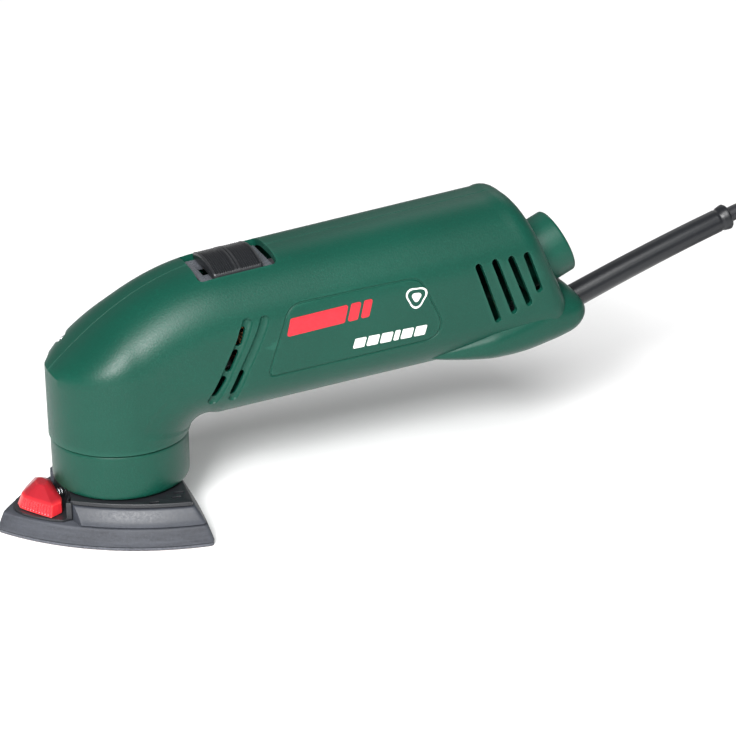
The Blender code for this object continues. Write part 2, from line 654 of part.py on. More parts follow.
for side, sg in (("left", -1), ("right", 1)):
    m = frame_to(YY * sg, APEX + AX * 108.5, UP)
    holder = box(f"brush_holder_{side}", (-4.6, -5.6, 11.3), (4.6, 5.6, 25.0), BRASS, matrix=m)
    boolean(holder, box(f"brush_slot_{side}", (-2.8, -3.8, 9.0), (2.8, 3.8, 23.4), None, cutters, m))
    box(f"carbon_brush_{side}", (-2.5, -3.5, 10.3), (2.5, 3.5, 22.0), CARBON, matrix=m)

# ---- switch: slider in the roof, link, module ----
SL = to_roof
arch = []
for k in range(9):
    y = -14.6 + 29.2 * k / 8
    arch.append((y, 1.3 - 0.0145 * y * y))
ACROSS = SL @ Matrix(((0, 0, 1, 0), (1, 0, 0, 0), (0, 1, 0, 0), (0, 0, 0, 1)))   # outline in (y, z), depth along the roof
slider = slab("switch_slider", [(14.6, -4.0), *arch[::-1], (-14.6, -4.0)], -11.2, 11.2, BLACK, matrix=ACROSS, bevel=0.7)
boolean(slider, box("slider_stem", (-5.0, -4.5, -7.5), (5.0, 4.5, -3.0), None, cutters, SL), "UNION")
for tag, xa, xb in (("front", -9.6, -1.2), ("back", 1.2, 9.6)):
    boolean(slider, slab(f"slider_dip_{tag}", [(16, 6.0)] + [(y * 1.1, z - 0.9) for y, z in arch[::-1]] + [(-16, 6.0)], xa, xb, None, where=cutters, matrix=ACROSS))
ROD_Z = -9.0
box("switch_link", (-6.0, -2.5, ROD_Z - 1.2), (86.0, 2.5, ROD_Z + 1.2), FANP, matrix=SL)
box("switch_frame", (-16.0, -13.0, -6.6), (16.0, 13.0, -4.6), BLACK, matrix=SL)
frame_ob = bpy.data.objects["switch_frame"]
boolean(frame_ob, box("frame_slot", (-13.0, -5.6, -12.0), (7.0, 5.6, 4.0), None, cutters, SL))
box("switch_module", (138.0, -9.0, 91.0), (158.0, 9.0, 103.6), BLACK, bevel=0.8)
cyl("capacitor", (140.0, -2.0, 62.0), (166.0, -2.0, 64.7), 6.0, BLUE, seg=20)

# ---- dust outlet ----
NOZ = frame_to(tail_dir, tail_mid)
turned("dust_outlet", [(12.2, 15.6), (13.6, 15.6), (15.0, 14.2), (15.0, 0.6), (13.2, 0.6), (13.2, -8.0), (12.0, -8.0), (12.0, 0.0)], GREEN, NOZ, seg=24)

# ---- cord guard, clamp ----
guard_pts = [GUARD_START + guard_dir * t for t in (8.0, 16.0, 26.0)] + [np.array(q) for q in ((238.1, 0, 76.4), (258.4, 0, 83.8), (276.0, 0, 89.9), (292.7, 0, 95.4))]
route = smooth_route(guard_pts, 12)
guard = tube("cord_guard", route, 5.55, RUBBER, res=3)
tip_dir = route[-1] - route[-2]
tip_dir /= np.linalg.norm(tip_dir)
tip = route[-1]
lip = turned("guard_lip", [(0, 0.0), (5.6, 0.0), (6.3, -0.8), (6.3, -3.0), (5.2, -4.6), (0, -4.6)], None, frame_to(tip_dir, tip + tip_dir * 0.3), 20, cutters)
boolean(guard, lip, "UNION")
box("cord_clamp", (186.5, -9.0, 60.5), (191.5, 9.0, 64.0), BLACK, bevel=0.5)
cl = bpy.data.objects["cord_clamp"]
for k, yy in ((1, -6.2), (2, 6.2)):
    boolean(cl, cyl(f"clamp_hole_{k}", (189.0, yy, 55), (189.0, yy, 70), 1.5, None, seg=12, where=cutters))
    turned(f"clamp_screw_{k}", [(0, 67.0), (2.5, 66.4), (2.5, 64.4), (1.2, 64.4), (1.2, 58.0), (0, 58.0)], STEEL, Matrix.Translation((189.0 * MM, yy * MM, 0)), 12)

for i, (sx, sz) in enumerate(SCREWS, 1):
    turned(f"case_screw_{i}", [(0, 15.0), (3.0, 15.0), (3.3, 14.6), (3.3, 12.8), (1.6, 12.8), (1.6, -10.0), (0, -11.5)], STEEL, frame_to((0, 1, 0), (sx, 0, sz)), 10)

# ---- rubber oscillation legs between gear carrier and pad carrier ----
for k in range(3):
    a = math.radians(30 + 120 * k)
    turned(f"oscillation_leg_{k + 1}", [(0, 43.6), (3.0, 43.6), (3.0, 41.0), (2.2, 39.0), (2.2, 25.0), (3.0, 23.0), (3.0, 19.6), (0, 19.6)],
           RUBBER, Matrix.Translation((20.8 * math.cos(a) * MM, 20.8 * math.sin(a) * MM, 0)), 10)


# ---- delta pad ----
def delta(inset=0.0, n=9, corner=2.4):
    """Outline of the delta, tip to the front, each side a shallow arc, corners rounded."""
    corners = [np.array(p) for p in PLATE_CORNERS]
    sides = []
    for i in range(3):
        a, b = corners[i], corners[(i + 1) % 3]
        chord = np.linalg.norm(b - a)
        sag = PLATE_SAGS[i]
        rad = (chord / 2) ** 2 / (2 * sag) + sag / 2
        d = (b - a) / chord
        c = (a + b) / 2 - np.array([d[1], -d[0]]) * (rad - sag)
        a0, a1 = math.atan2(*(a - c)[::-1]), math.atan2(*(b - c)[::-1])
        sides.append((c, rad, a0, a1 if a1 > a0 else a1 + 2 * math.pi))
    halves, bisectors = [], []
    for i in range(3):
        before, after = sides[i - 1], sides[i]
        t1 = np.array([-math.sin(before[3]), math.cos(before[3])])
        t2 = np.array([-math.sin(after[2]), math.cos(after[2])])
        bis = (t2 - t1) / np.linalg.norm(t2 - t1)
        bisectors.append(bis)
        halves.append(math.acos(float(bis @ t2)))
    pts = []
    for i, (c, rad, a0, a1) in enumerate(sides):
        j = (i + 1) % 3
        lo = a0 + (corner + inset / math.tan(halves[i])) / rad
        hi = a1 - (corner + inset / math.tan(halves[j])) / rad
        for k in range(n):
            t = lo + (hi - lo) * k / (n - 1)
            pts.append(c + (rad - inset) * np.array([math.cos(t), math.sin(t)]))
        pts.append(corners[j] + bisectors[j] * (inset / math.sin(halves[j]) + corner * math.cos(halves[j]) * 0.5))
    return [tuple(p) for p in pts]


def loft_z(name, levels, mat, where=parts):
    return loft(name, [np.array([(x, y, z) for x, y in pts]) for pts, z in levels], mat, where)


slab("abrasive_sheet", delta(0.4), 0.0, SHEET_T, GRIT)
loft_z("sanding_pad", [(delta(0.3), PAD_Z0), (delta(0.3), PAD_Z0 + 0.8), (delta(2.7), PAD_Z1)], DARK)

shoe = loft_z("pad_shoe", [(delta(3.1), SHOE_Z0), (delta(3.2), SHOE_Z0 + 0.6), (delta(6.6), SHOE_Z1 - 0.4), (delta(7.2), SHOE_Z1)], GREY)
front_cut = slab("shoe_front_cut", [(-60, -34), (-24.0, -34), (-27.5, -16), (-22.5, -9), (-22.5, 9), (-27.5, 16), (-24.0, 34), (-60, 34)], 5, 20, None, where=cutters)
boolean(shoe, front_cut)

cover = slab("pad_carrier", delta(7.6), COVER_Z0, COVER_Z1, BLACK)
corner_clip = slab("carrier_corner_clip", [(-60, -30), (-30.4, -30), (-26.2, -14), (-25.3, -9), (-25.3, 9), (-26.2, 14), (-30.4, 30), (-60, 30)], 10, 25, None, where=cutters)
boolean(cover, corner_clip)
hub = cyl("carrier_hub", (ECC, 0, 17.0), (ECC, 0, 30.0), 14.6, None, seg=28, where=cutters)
boolean(cover, hub, "UNION")
arm = slab("carrier_arm", [(-29.6, -18.6), (-27.4, -19.4), (-27.9, -15.8), (-23.0, -9.2), (-23.0, 9.2), (-27.9, 15.8), (-27.4, 19.4), (-29.6, 18.6), (-25.4, 9.0), (-25.4, -9.0)], 9.6, 17.2, None, where=cutters)
boolean(cover, arm, "UNION")
tongue = slab("carrier_tongue", [(-47.6, -2.0), (-45.2, -7.0), (-40.6, -12.2), (-36.0, -16.4), (-31.4, -19.2), (-28.4, -18.5), (-28.4, -15.8), (-23.4, -9.2), (-23.4, 9.2), (-28.4, 15.8), (-28.4, 18.5), (-31.4, 19.2), (-36.0, 16.4), (-40.6, 12.2), (-45.2, 7.0), (-47.6, 2.0)], 9.1, 10.1, None, where=cutters)
boolean(cover, tongue, "UNION")
boolean(cover, cyl("carrier_bore", (ECC, 0, 21.0), (ECC, 0, 40.0), 11.3, None, seg=28, where=cutters))
boolean(cover, cyl("spring_way", (-32.0, 0, 13.8), (-20.0, 0, 13.8), 2.2, None, seg=16, where=cutters))
boolean(cover, cyl("carrier_clear", (ECC, 0, 19.6), (ECC, 0, 40.0), 8.0, None, seg=24, where=cutters))
bearing("pad_bearing", 3.3, 11.0, 21.3, 28.3, Matrix.Translation((ECC * MM, 0, 0)))

# ---- release catch: wedge filling the front corner ----
def catch_outline(tip, back, half, chamfer):
    side = []
    for k in range(6):
        t = k / 5
        x = tip + (half[0] - tip) * t
        y = 2.0 + (half[1] - 2.0) * (t ** 0.86)
        side.append((x, -y))
    loop = side + [(chamfer[0], -chamfer[1]), (back, -chamfer[1] + 3.0)]
    return loop + [(x, -y) for x, y in loop[::-1]]


catch = loft_z("release_catch", [
    (catch_outline(-45.6, -29.0, (-35.6, 16.4), (-30.3, 13.4)), 10.4),
    (catch_outline(-43.6, -29.0, (-34.7, 14.8), (-30.1, 12.6)), 15.0),
    (catch_outline(-42.8, -29.2, (-34.7, 13.8), (-30.3, 11.8)), 15.6),
    (catch_outline(-37.2, -32.6, (-35.4, 4.2), (-34.2, 3.8)), 20.2)], RED)
boolean(catch, cyl("spring_pocket", (-34.4, 0, 13.8), (-25.0, 0, 13.8), 2.2, None, seg=16, where=cutters))

coil_pts = []
for k in range(43):
    a = 2 * math.pi * k / 6
    coil_pts.append((-34.0 + 7.8 * k / 42, 1.5 * math.cos(a), 13.8 + 1.5 * math.sin(a)))
tube("catch_spring", coil_pts, 0.3, STEEL, res=0)

# ---- mains lead ----
lead = [tip + tip_dir * 0.7, tip + tip_dir * 9.0, (316.0, -3.5, 98.5), (327.0, -10.5, 92.5), (336.0, -18.5, 82.5), (343.5, -27.0, 69.0),
        (350.0, -34.5, 54.0), (357.5, -40.5, 40.0), (367.0, -43.5, 28.3)]
tube("supply_cord", smooth_route(lead, 16), CORD_D / 2, RUBBER, res=2)
cx, cy = COIL_C
turned("cord_coil", [(COIL_MEAN - COIL_HALF, COIL_H - 3), (COIL_MEAN - COIL_HALF + 3, COIL_H), (COIL_MEAN + COIL_HALF - 3, COIL_H), (COIL_MEAN + COIL_HALF, COIL_H - 3),
                     (COIL_MEAN + COIL_HALF, 3), (COIL_MEAN + COIL_HALF - 3, 0), (COIL_MEAN - COIL_HALF + 3, 0), (COIL_MEAN - COIL_HALF, 3)],
       RUBBER, Matrix.Translation((cx * MM, cy * MM, 0)), 24)
TIE = 11.4
tie = box("cord_tie", (COIL_MEAN - TIE - 1.0, -4.0, 0.0), (COIL_MEAN + TIE + 1.0, 4.0, COIL_H + 1.6), BLACK, matrix=Matrix.Translation((cx * MM, cy * MM, 0)) @ Matrix.Rotation(math.radians(80), 4, "Z"))
boolean(tie, box("tie_inside", (COIL_MEAN - TIE, -9.0, -5.0), (COIL_MEAN + TIE, 9.0, COIL_H + 0.5), None, cutters, tie.matrix_world.copy()))
tail_x = cx + COIL_MEAN + COIL_HALF - CORD_D / 2
tube("cord_tail", [(tail_x, cy + y, CORD_D / 2 + 0.1) for y in (28.5, 31.0, 34.0)], CORD_D / 2, RUBBER, res=2)
plug = slab("plug_body", [(-5.5, 0), (5.5, 0), (7.5, 8), (16.5, 20), (17.2, 34), (15.0, 36), (-15.0, 36), (-17.2, 34), (-16.5, 20), (-7.5, 8)], 0.2, 13.6, RUBBER,
            matrix=Matrix.Translation((tail_x * MM, (cy + 34.3) * MM, 0)), bevel=1.2)
for k, sx in ((1, -9.5), (2, 9.5)):
    cyl(f"plug_pin_{k}", (tail_x + sx, cy + 70.7, 6.9), (tail_x + sx * 0.93, cy + 89.3, 6.9), 2.0, BRASS, seg=14)

for ob in parts.objects:
    if ob.type == "MESH" and len(ob.data.polygons):
        ob.data.shade_smooth()
        ob.data.set_sharp_from_angle(angle=math.radians(32))
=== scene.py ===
"""Looks of the detail sander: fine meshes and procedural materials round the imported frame."""

import json
import math

import bmesh
import bpy
import numpy as np
from mathutils import Matrix, Vector
from mathutils.bvhtree import BVHTree

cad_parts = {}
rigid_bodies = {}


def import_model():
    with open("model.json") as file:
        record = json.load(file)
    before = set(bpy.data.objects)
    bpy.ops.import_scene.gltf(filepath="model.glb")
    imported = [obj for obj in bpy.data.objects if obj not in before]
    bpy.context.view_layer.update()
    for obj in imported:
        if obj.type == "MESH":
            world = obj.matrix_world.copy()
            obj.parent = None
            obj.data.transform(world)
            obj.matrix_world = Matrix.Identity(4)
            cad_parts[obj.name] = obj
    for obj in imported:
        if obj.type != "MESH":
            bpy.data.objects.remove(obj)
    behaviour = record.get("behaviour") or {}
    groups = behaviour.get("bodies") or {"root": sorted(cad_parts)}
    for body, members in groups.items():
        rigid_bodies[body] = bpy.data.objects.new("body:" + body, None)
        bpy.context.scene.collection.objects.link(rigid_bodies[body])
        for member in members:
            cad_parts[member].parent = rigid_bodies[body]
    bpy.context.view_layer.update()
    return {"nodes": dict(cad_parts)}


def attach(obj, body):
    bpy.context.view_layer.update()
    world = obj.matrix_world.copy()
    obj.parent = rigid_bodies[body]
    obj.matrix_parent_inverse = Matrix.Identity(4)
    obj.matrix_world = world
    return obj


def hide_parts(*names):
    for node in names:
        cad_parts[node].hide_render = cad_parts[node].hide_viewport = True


for old in list(bpy.data.objects):
    bpy.data.objects.remove(old)

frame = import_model()
NODES = frame["nodes"]
scene = bpy.context.scene
MM = 0.001

# ------------------------------------------------------------------ dimensions, as in the CAD (mm)
TILT = 6.0
HEAD_R = 30.0
HANDLE_HALF = 29.5
WALL = 2.6
ELBOW = (36.5, 39.5)
ELBOW_R = 6.5
CREASE_Z = 70.0
ROOF_START = (-30.0, 70.1)
ROOF_KNEE = (42.0, 110.2)
ROOF_SLOPE = 0.105
SHOULDER = 26.0
BELLY_START = (40.0, 45.6)
BELLY_SLOPE = 0.078
BELLY_FILLET = 20.0
TAIL_TILT = 25.0
TAIL_POINT = (186.0, 105.0)
TAIL_EDGE = 9.0
BOSS_X = (128.0, 210.0)
BOSS_LOW = 51.8
SPLIT_GAP = 0.3
COLLAR_R = 29.3
COLLAR_Z0, COLLAR_Z1 = 18.7, 39.2
PLATE_CORNERS = ((-55.8, 0.0), (26.6, -47.0), (26.6, 47.0))
PLATE_SAGS = (10.4, 3.2, 10.4)
ECC = 0.75
CORD_D = 7.0
COIL_C = (374.0, 0.0)
COIL_MEAN, COIL_HALF, COIL_H = 42.0, 10.8, 21.3

tilt = math.radians(TILT)
AX = np.array([math.cos(tilt), 0.0, math.sin(tilt)])
UP = np.array([-math.sin(tilt), 0.0, math.cos(tilt)])
YY = np.array([0.0, 1.0, 0.0])
APEX = np.array([0.0, 0.0, 73.0])


# ------------------------------------------------------------------ mesh helpers
def link(name, me):
    ob = bpy.data.objects.new(name, me)
    scene.collection.objects.link(ob)
    return ob


def mesh_from(name, verts, faces, smooth=30.0):
    me = bpy.data.meshes.new(name)
    me.from_pydata([tuple(float(c) * MM for c in v) for v in verts], [], faces)
    bm = bmesh.new()
    bm.from_mesh(me)
    bmesh.ops.recalc_face_normals(bm, faces=bm.faces)
    bm.to_mesh(me)
    bm.free()
    me.shade_smooth()
    me.set_sharp_from_angle(angle=math.radians(smooth))
    return link(name, me)


def loft(name, rings, smooth=30.0, closed=False):
    """Solid through outlines that have the same number of points (mm); closed joins the last to the first."""
    n = len(rings[0])
    verts = [p for r in rings for p in r]
    faces = []
    m = len(rings)
    for a in range(m if closed else m - 1):
        b = (a + 1) % m
        for i in range(n):
            j = (i + 1) % n
            faces.append((a * n + i, a * n + j, b * n + j, b * n + i))
    if not closed:
        faces.append(tuple(range(n))[::-1])
        faces.append(tuple((m - 1) * n + i for i in range(n)))
    return mesh_from(name, verts, faces, smooth)


def frame_to(axis, origin, ref=None):
    z = Vector(axis).normalized()
    x = Vector(ref) if ref is not None else (Vector((0, 1, 0)) if abs(z.y) < 0.9 else Vector((1, 0, 0)))
    x = (x - z * x.dot(z)).normalized()
    y = z.cross(x)
    m = Matrix((x, y, z)).transposed().to_4x4()
    m.translation = Vector(origin) * MM
    return m


def bake(ob, matrix):
    ob.data.transform(matrix)
    return ob


def turned(name, profile, matrix=None, seg=96, smooth=30.0):
    """(r, z) outline in mm turned about local Z. Points at r = 0 close it."""
    ring = all(r > 1e-6 for r, z in profile)
    verts, rows = [], []
    for r, z in profile:
        if r <= 1e-6:
            rows.append([len(verts)])
            verts.append((0, 0, z))
        else:
            rows.append(list(range(len(verts), len(verts) + seg)))
            for i in range(seg):
                a = 2 * math.pi * i / seg
                verts.append((r * math.cos(a), r * math.sin(a), z))
    faces = []
    for a, b in zip(rows, rows[1:] + (rows[:1] if ring else [])):
        if len(a) == 1 and len(b) == 1:
            continue
        for i in range(seg):
            j = (i + 1) % seg
            if len(a) == 1:
                faces.append((a[0], b[j], b[i]))
            elif len(b) == 1:
                faces.append((a[i], a[j], b[0]))
            else:
                faces.append((a[i], a[j], b[j], b[i]))
    ob = mesh_from(name, verts, faces, smooth)
    return bake(ob, matrix) if matrix is not None else ob


def rounded(profile, radii, steps=5):
    """Outline with its corners rounded; radii has one radius a corner, 0 keeps it sharp."""
    out = []
    n = len(profile)
    for i in range(n):
        p = np.array(profile[i], float)
        r = radii[i]
        if r <= 0:
            out.append(tuple(p))
            continue
        a = np.array(profile[i - 1], float) - p
        b = np.array(profile[(i + 1) % n], float) - p
        la, lb = np.linalg.norm(a), np.linalg.norm(b)
        a, b = a / la, b / lb
        half = math.acos(max(-1, min(1, float(a @ b)))) / 2
        t = min(r / math.tan(half), la * 0.49, lb * 0.49)
        r2 = t * math.tan(half)
        c = p + (a + b) / np.linalg.norm(a + b) * (r2 / math.sin(half))
        p0, p1 = p + a * t, p + b * t
        v0, v1 = p0 - c, p1 - c
        ang = math.acos(max(-1, min(1, float(v0 @ v1) / (r2 * r2))))
        for k in range(steps + 1):
            f = k / steps
            v = (math.sin((1 - f) * ang) * v0 + math.sin(f * ang) * v1) / math.sin(ang)
            out.append(tuple(c + v))
    return out


def prism(name, pts, lo, hi, matrix=None, smooth=30.0):
    """Outline (x, y) pulled from z = lo to z = hi, then placed by matrix."""
    rings = [[(x, y, lo) for x, y in pts], [(x, y, hi) for x, y in pts]]
    ob = loft(name, rings, smooth)
    return bake(ob, matrix) if matrix is not None else ob


def block(name, lo, hi, matrix=None):
    return prism(name, [(lo[0], lo[1]), (hi[0], lo[1]), (hi[0], hi[1]), (lo[0], hi[1])], lo[2], hi[2], matrix)


def frames_along(pts, closed=False):
    pts = np.asarray(pts, float)
    n = len(pts)
    tang = np.roll(pts, -1, 0) - np.roll(pts, 1, 0) if closed else np.gradient(pts, axis=0)
    tang /= np.linalg.norm(tang, axis=1)[:, None]
    ref = np.array([0.0, 1.0, 0.0])
    if abs(tang[0] @ ref) > 0.9:
        ref = np.array([0.0, 0.0, 1.0])
    out = []
    u = ref - tang[0] * (ref @ tang[0])
    u /= np.linalg.norm(u)
    for i in range(n):
        u = u - tang[i] * (u @ tang[i])
        u /= np.linalg.norm(u)
        out.append((pts[i], tang[i], u, np.cross(tang[i], u)))
    return out


def sweep(name, pts, radii, seg=16, closed=False, smooth=40.0):
    """Round tube along points (mm); radii is one number or one a point."""
    rad = np.broadcast_to(np.asarray(radii, float), (len(pts),))
    rings = []
    for (p, t, u, v), r in zip(frames_along(pts, closed), rad):
        rings.append([p + (u * math.cos(2 * math.pi * k / seg) + v * math.sin(2 * math.pi * k / seg)) * r for k in range(seg)])
    return loft(name, rings, smooth, closed)


def smooth_route(points, n):
    p = np.array([2 * np.array(points[0]) - points[1], *points, 2 * np.array(points[-1]) - points[-2]], float)
    dense = []
    for i in range(1, len(p) - 2):
        for t in np.linspace(0, 1, 24, endpoint=False):
            a, b, c, d = p[i - 1 : i + 3]
            dense.append(0.5 * (2 * b + (c - a) * t + (2 * a - 5 * b + 4 * c - d) * t**2 + (3 * b - a - 3 * c + d) * t**3))
    dense.append(p[-2])
    return resample(np.array(dense), n)


def resample(dense, n):
    s = np.concatenate([[0], np.cumsum(np.linalg.norm(np.diff(dense, axis=0), axis=1))])
    want = np.linspace(0, s[-1], n)
    return np.stack([np.interp(want, s, dense[:, k]) for k in range(dense.shape[1])], 1)


def evaluated(ob):
    bpy.context.view_layer.update()
    return bpy.data.meshes.new_from_object(ob.evaluated_get(bpy.context.evaluated_depsgraph_get()))


def carve(ob, tools, smooth=30.0, keep=()):
    """Applies (tool, operation) pairs one after another; a step that would lose the mesh is redone with the exact solver."""
    for tool, op in tools:
        before = len(ob.data.polygons)
        for solver in ("MANIFOLD", "EXACT"):
            m = ob.modifiers.new("cut", "BOOLEAN")
            m.operation = op
            m.object = tool
            m.solver = solver
            me = evaluated(ob)
            ob.modifiers.remove(m)
            if len(me.polygons) > before * 0.25 and (len(me.polygons) != before or solver == "EXACT"):
                break
        ob.data = me
    for tool, op in tools:
        if tool not in keep and tool.name in bpy.data.objects:
            bpy.data.objects.remove(tool)
    ob.data.name = ob.name
    ob.data.shade_smooth()
    ob.data.set_sharp_from_angle(angle=math.radians(smooth))
    return ob


# ------------------------------------------------------------------ materials
class Mat:
    """A Principled material and short ways to add procedural nodes. Texture space is object space in metres."""

    def __init__(self, name, rough=0.5, metal=0.0):
        self.m = bpy.data.materials.new(name)
        self.m.use_nodes = True
        self.nt = self.m.node_tree
        self.b = self.nt.nodes["Principled BSDF"]
        self.b.inputs["Roughness"].default_value = rough
        self.b.inputs["Metallic"].default_value = metal
        self.tc = self.nt.nodes.new("ShaderNodeTexCoord")
        self.height = []

    def n(self, kind, **props):
        nd = self.nt.nodes.new(kind)
        for k, v in props.items():
            if k in nd.inputs:
                nd.inputs[k].default_value = v
            else:
                setattr(nd, k, v)
        return nd

    def l(self, a, b):
        self.nt.links.new(a, b)

    def coords(self, scale=(1, 1, 1), rot=(0, 0, 0)):
        mp = self.n("ShaderNodeMapping")
        mp.inputs["Scale"].default_value = scale
        mp.inputs["Rotation"].default_value = rot
        self.l(self.tc.outputs["Object"], mp.inputs["Vector"])
        return mp.outputs["Vector"]

    def noise(self, scale, detail=2.0, rough=0.5, stretch=(1, 1, 1), rot=(0, 0, 0)):
        nz = self.n("ShaderNodeTexNoise")
        nz.inputs["Scale"].default_value = scale
        nz.inputs["Detail"].default_value = detail
        nz.inputs["Roughness"].default_value = rough
        self.l(self.coords(stretch, rot), nz.inputs["Vector"])
        return nz.outputs["Fac"]

    def voronoi(self, scale, feature="F1", stretch=(1, 1, 1)):
        v = self.n("ShaderNodeTexVoronoi")
        v.feature = feature
        v.inputs["Scale"].default_value = scale
        self.l(self.coords(stretch), v.inputs["Vector"])
        return v.outputs["Distance"]

    def ramp(self, fac, stops):
        r = self.n("ShaderNodeValToRGB")
        els = r.color_ramp.elements
        while len(els) < len(stops):
            els.new(0.5)
        for e, (pos, col) in zip(els, stops):
            e.position = pos
            e.color = (*col, 1.0) if len(col) == 3 else col
        self.l(fac, r.inputs["Fac"])
        return r.outputs["Color"]

    def mix(self, fac, a, b, blend="MIX"):
        mx = self.n("ShaderNodeMix", data_type="RGBA", blend_type=blend)
        ins = [i for i in mx.inputs if i.type == "RGBA"]
        for val, sock in ((a, ins[0]), (b, ins[1])):
            if isinstance(val, tuple):
                sock.default_value = (*val, 1.0)
            else:
                self.l(val, sock)
        f = [i for i in mx.inputs if i.type == "VALUE"][0]
        if isinstance(fac, (int, float)):
            f.default_value = fac
        else:
            self.l(fac, f)
        return [o for o in mx.outputs if o.type == "RGBA"][0]

    def math(self, op, a, b=0.5):
        m = self.n("ShaderNodeMath", operation=op)
        for val, sock in ((a, m.inputs[0]), (b, m.inputs[1])):
            if isinstance(val, (int, float)):
                sock.default_value = val
            else:
                self.l(val, sock)
        return m.outputs[0]

    def span(self, fac, lo, hi, a=0.3, b=0.7):
        mr = self.n("ShaderNodeMapRange")
        mr.inputs["From Min"].default_value = a
        mr.inputs["From Max"].default_value = b
        mr.inputs["To Min"].default_value = lo
        mr.inputs["To Max"].default_value = hi
        self.l(fac, mr.inputs["Value"])
        return mr.outputs["Result"]

    def colour(self, sock):
        if isinstance(sock, tuple):
            self.b.inputs["Base Color"].default_value = (*sock, 1.0)
        else:
            self.l(sock, self.b.inputs["Base Color"])

    def rough(self, sock):
        self.l(sock, self.b.inputs["Roughness"])

    def bump(self, fac, distance, strength=1.0):
        self.height.append((fac, distance, strength))

    def done(self, edge=0.0):
        """Chains the bumps; edge rounds sharp edges in shading only, over that many metres."""
        normal = None
        if edge:
            bv = self.n("ShaderNodeBevel", samples=4)
            bv.inputs["Radius"].default_value = edge
            normal = bv.outputs["Normal"]
        for fac, distance, strength in self.height:
            bp = self.n("ShaderNodeBump")
            bp.inputs["Distance"].default_value = distance
            bp.inputs["Strength"].default_value = strength
            self.l(fac, bp.inputs["Height"])
            if normal is not None:
                self.l(normal, bp.inputs["Normal"])
            normal = bp.outputs["Normal"]
        if normal is not None:
            self.l(normal, self.b.inputs["Normal"])
        return self.m


def edge_mask(m, lo=0.515, hi=0.58):
    geo = m.n("ShaderNodeNewGeometry")
    return m.span(geo.outputs["Pointiness"], 0.0, 1.0, lo, hi)


def shade(c, k):
    return tuple(min(1.0, x * k) for x in c)


def moulded(name, col, rough=0.42, grain=0.00055, depth=0.000035, vary=0.10, wear=0.35, edge=0.0004, spec=0.5, coat=0.0):
    """Injection-moulded plastic: spark-eroded grain, slow colour drift, faint scuffs, paler worn edges."""
    m = Mat(name, rough)
    m.b.inputs["Specular IOR Level"].default_value = spec
    if coat:
        m.b.inputs["Coat Weight"].default_value = coat
        m.b.inputs["Coat Roughness"].default_value = 0.35
    drift = m.noise(18.0, 3.0)
    fine = m.noise(1.0 / grain, 3.0, 0.62)
    pits = m.voronoi(0.7 / grain)
    scuff = m.noise(140.0, 5.0, 0.7, stretch=(0.35, 1.0, 2.2), rot=(0.2, 0.5, 0.3))
    base = m.mix(m.span(drift, 0.0, 1.0, 0.35, 0.65), shade(col, 1.0 - vary), shade(col, 1.0 + vary))
    speck = m.mix(m.span(fine, 0.0, 0.30, 0.50, 0.72), base, shade(col, 1.9))
    scuffed = m.mix(m.span(scuff, 0.0, 0.16, 0.62, 0.80), speck, tuple(min(1, c * 1.5 + 0.02) for c in col))
    worn = m.mix(m.math("MULTIPLY", edge_mask(m), wear), scuffed, tuple(min(1, c * 2.2 + 0.015) for c in col))
    m.colour(worn)
    r = m.math("ADD", m.span(fine, rough - 0.05, rough + 0.07), m.span(scuff, 0.0, -0.06, 0.55, 0.8))
    m.rough(r)
    m.bump(fine, depth * 1.3, 0.7)
    m.bump(pits, depth * 1.6, 0.5)
    m.bump(drift, 0.0006, 0.12)
    return m.done(edge)


def metal(name, col, rough=0.3, turn=0.0, brush=(1, 1, 1), stain=0.12, edge=0.0003):
    """Machined metal: fine tool marks, slight staining, brighter edges."""
    m = Mat(name, rough, 1.0)
    marks = m.noise(900.0, 4.0, 0.6, stretch=brush)
    cloud = m.noise(90.0, 4.0, 0.6)
    base = m.mix(m.span(cloud, 0.0, 1.0), shade(col, 1 - stain), shade(col, 1.0 + stain * 0.4))
    base = m.mix(m.math("MULTIPLY", edge_mask(m), 0.5), base, shade(col, 1.3))
    m.colour(base)
    m.rough(m.math("ADD", m.span(marks, rough - 0.06, rough + 0.1), m.span(cloud, 0.0, 0.06)))
    m.bump(marks, 0.00004, 0.5)
    return m.done(edge)


GREEN_C = (0.0010, 0.046, 0.0295)
GREEN = moulded("green_shell_look", GREEN_C, rough=0.40, grain=0.00060, depth=0.00004, vary=0.07, wear=0.30, spec=0.30)
GREEN_IN = moulded("green_smooth_look", GREEN_C, rough=0.32, grain=0.0011, depth=0.000015, vary=0.05, wear=0.30)
BLACK = moulded("black_plastic_look", (0.0105, 0.0115, 0.0135), rough=0.36, grain=0.0006, depth=0.00002, vary=0.12, wear=0.25)
BLACK_SOFT = moulded("black_grip_look", (0.009, 0.0095, 0.0115), rough=0.5, grain=0.0004, depth=0.00004, vary=0.15, wear=0.2)
# switch recess floor: the mid-grey rather than black is painted highlight; the low roughness adds a real one
SWITCH_FLOOR_PAINTED_HIGHLIGHT = moulded("switch_floor_painted_highlight_look", (0.060, 0.064, 0.074), rough=0.28, grain=0.0009, depth=0.00001, vary=0.08, wear=0.3)


def rubber(name, col, rough):
    m = Mat(name, rough)
    fine = m.noise(1500.0, 3.0, 0.6)
    draw = m.noise(60.0, 3.0, 0.5, stretch=(0.12, 1, 1))
    dust = m.noise(220.0, 6.0, 0.72)
    base = m.mix(m.span(draw, 0.0, 1.0), shade(col, 0.8), shade(col, 1.25))
    m.colour(m.mix(m.span(dust, 0.0, 0.18, 0.58, 0.8), base, (0.05, 0.053, 0.06)))
    m.rough(m.span(fine, rough - 0.05, rough + 0.08))
    m.b.inputs["Sheen Weight"].default_value = 0.12
    m.b.inputs["Sheen Roughness"].default_value = 0.4
    m.bump(fine, 0.00003, 0.6)
    m.bump(draw, 0.0002, 0.15)
    return m.done(0.0004)


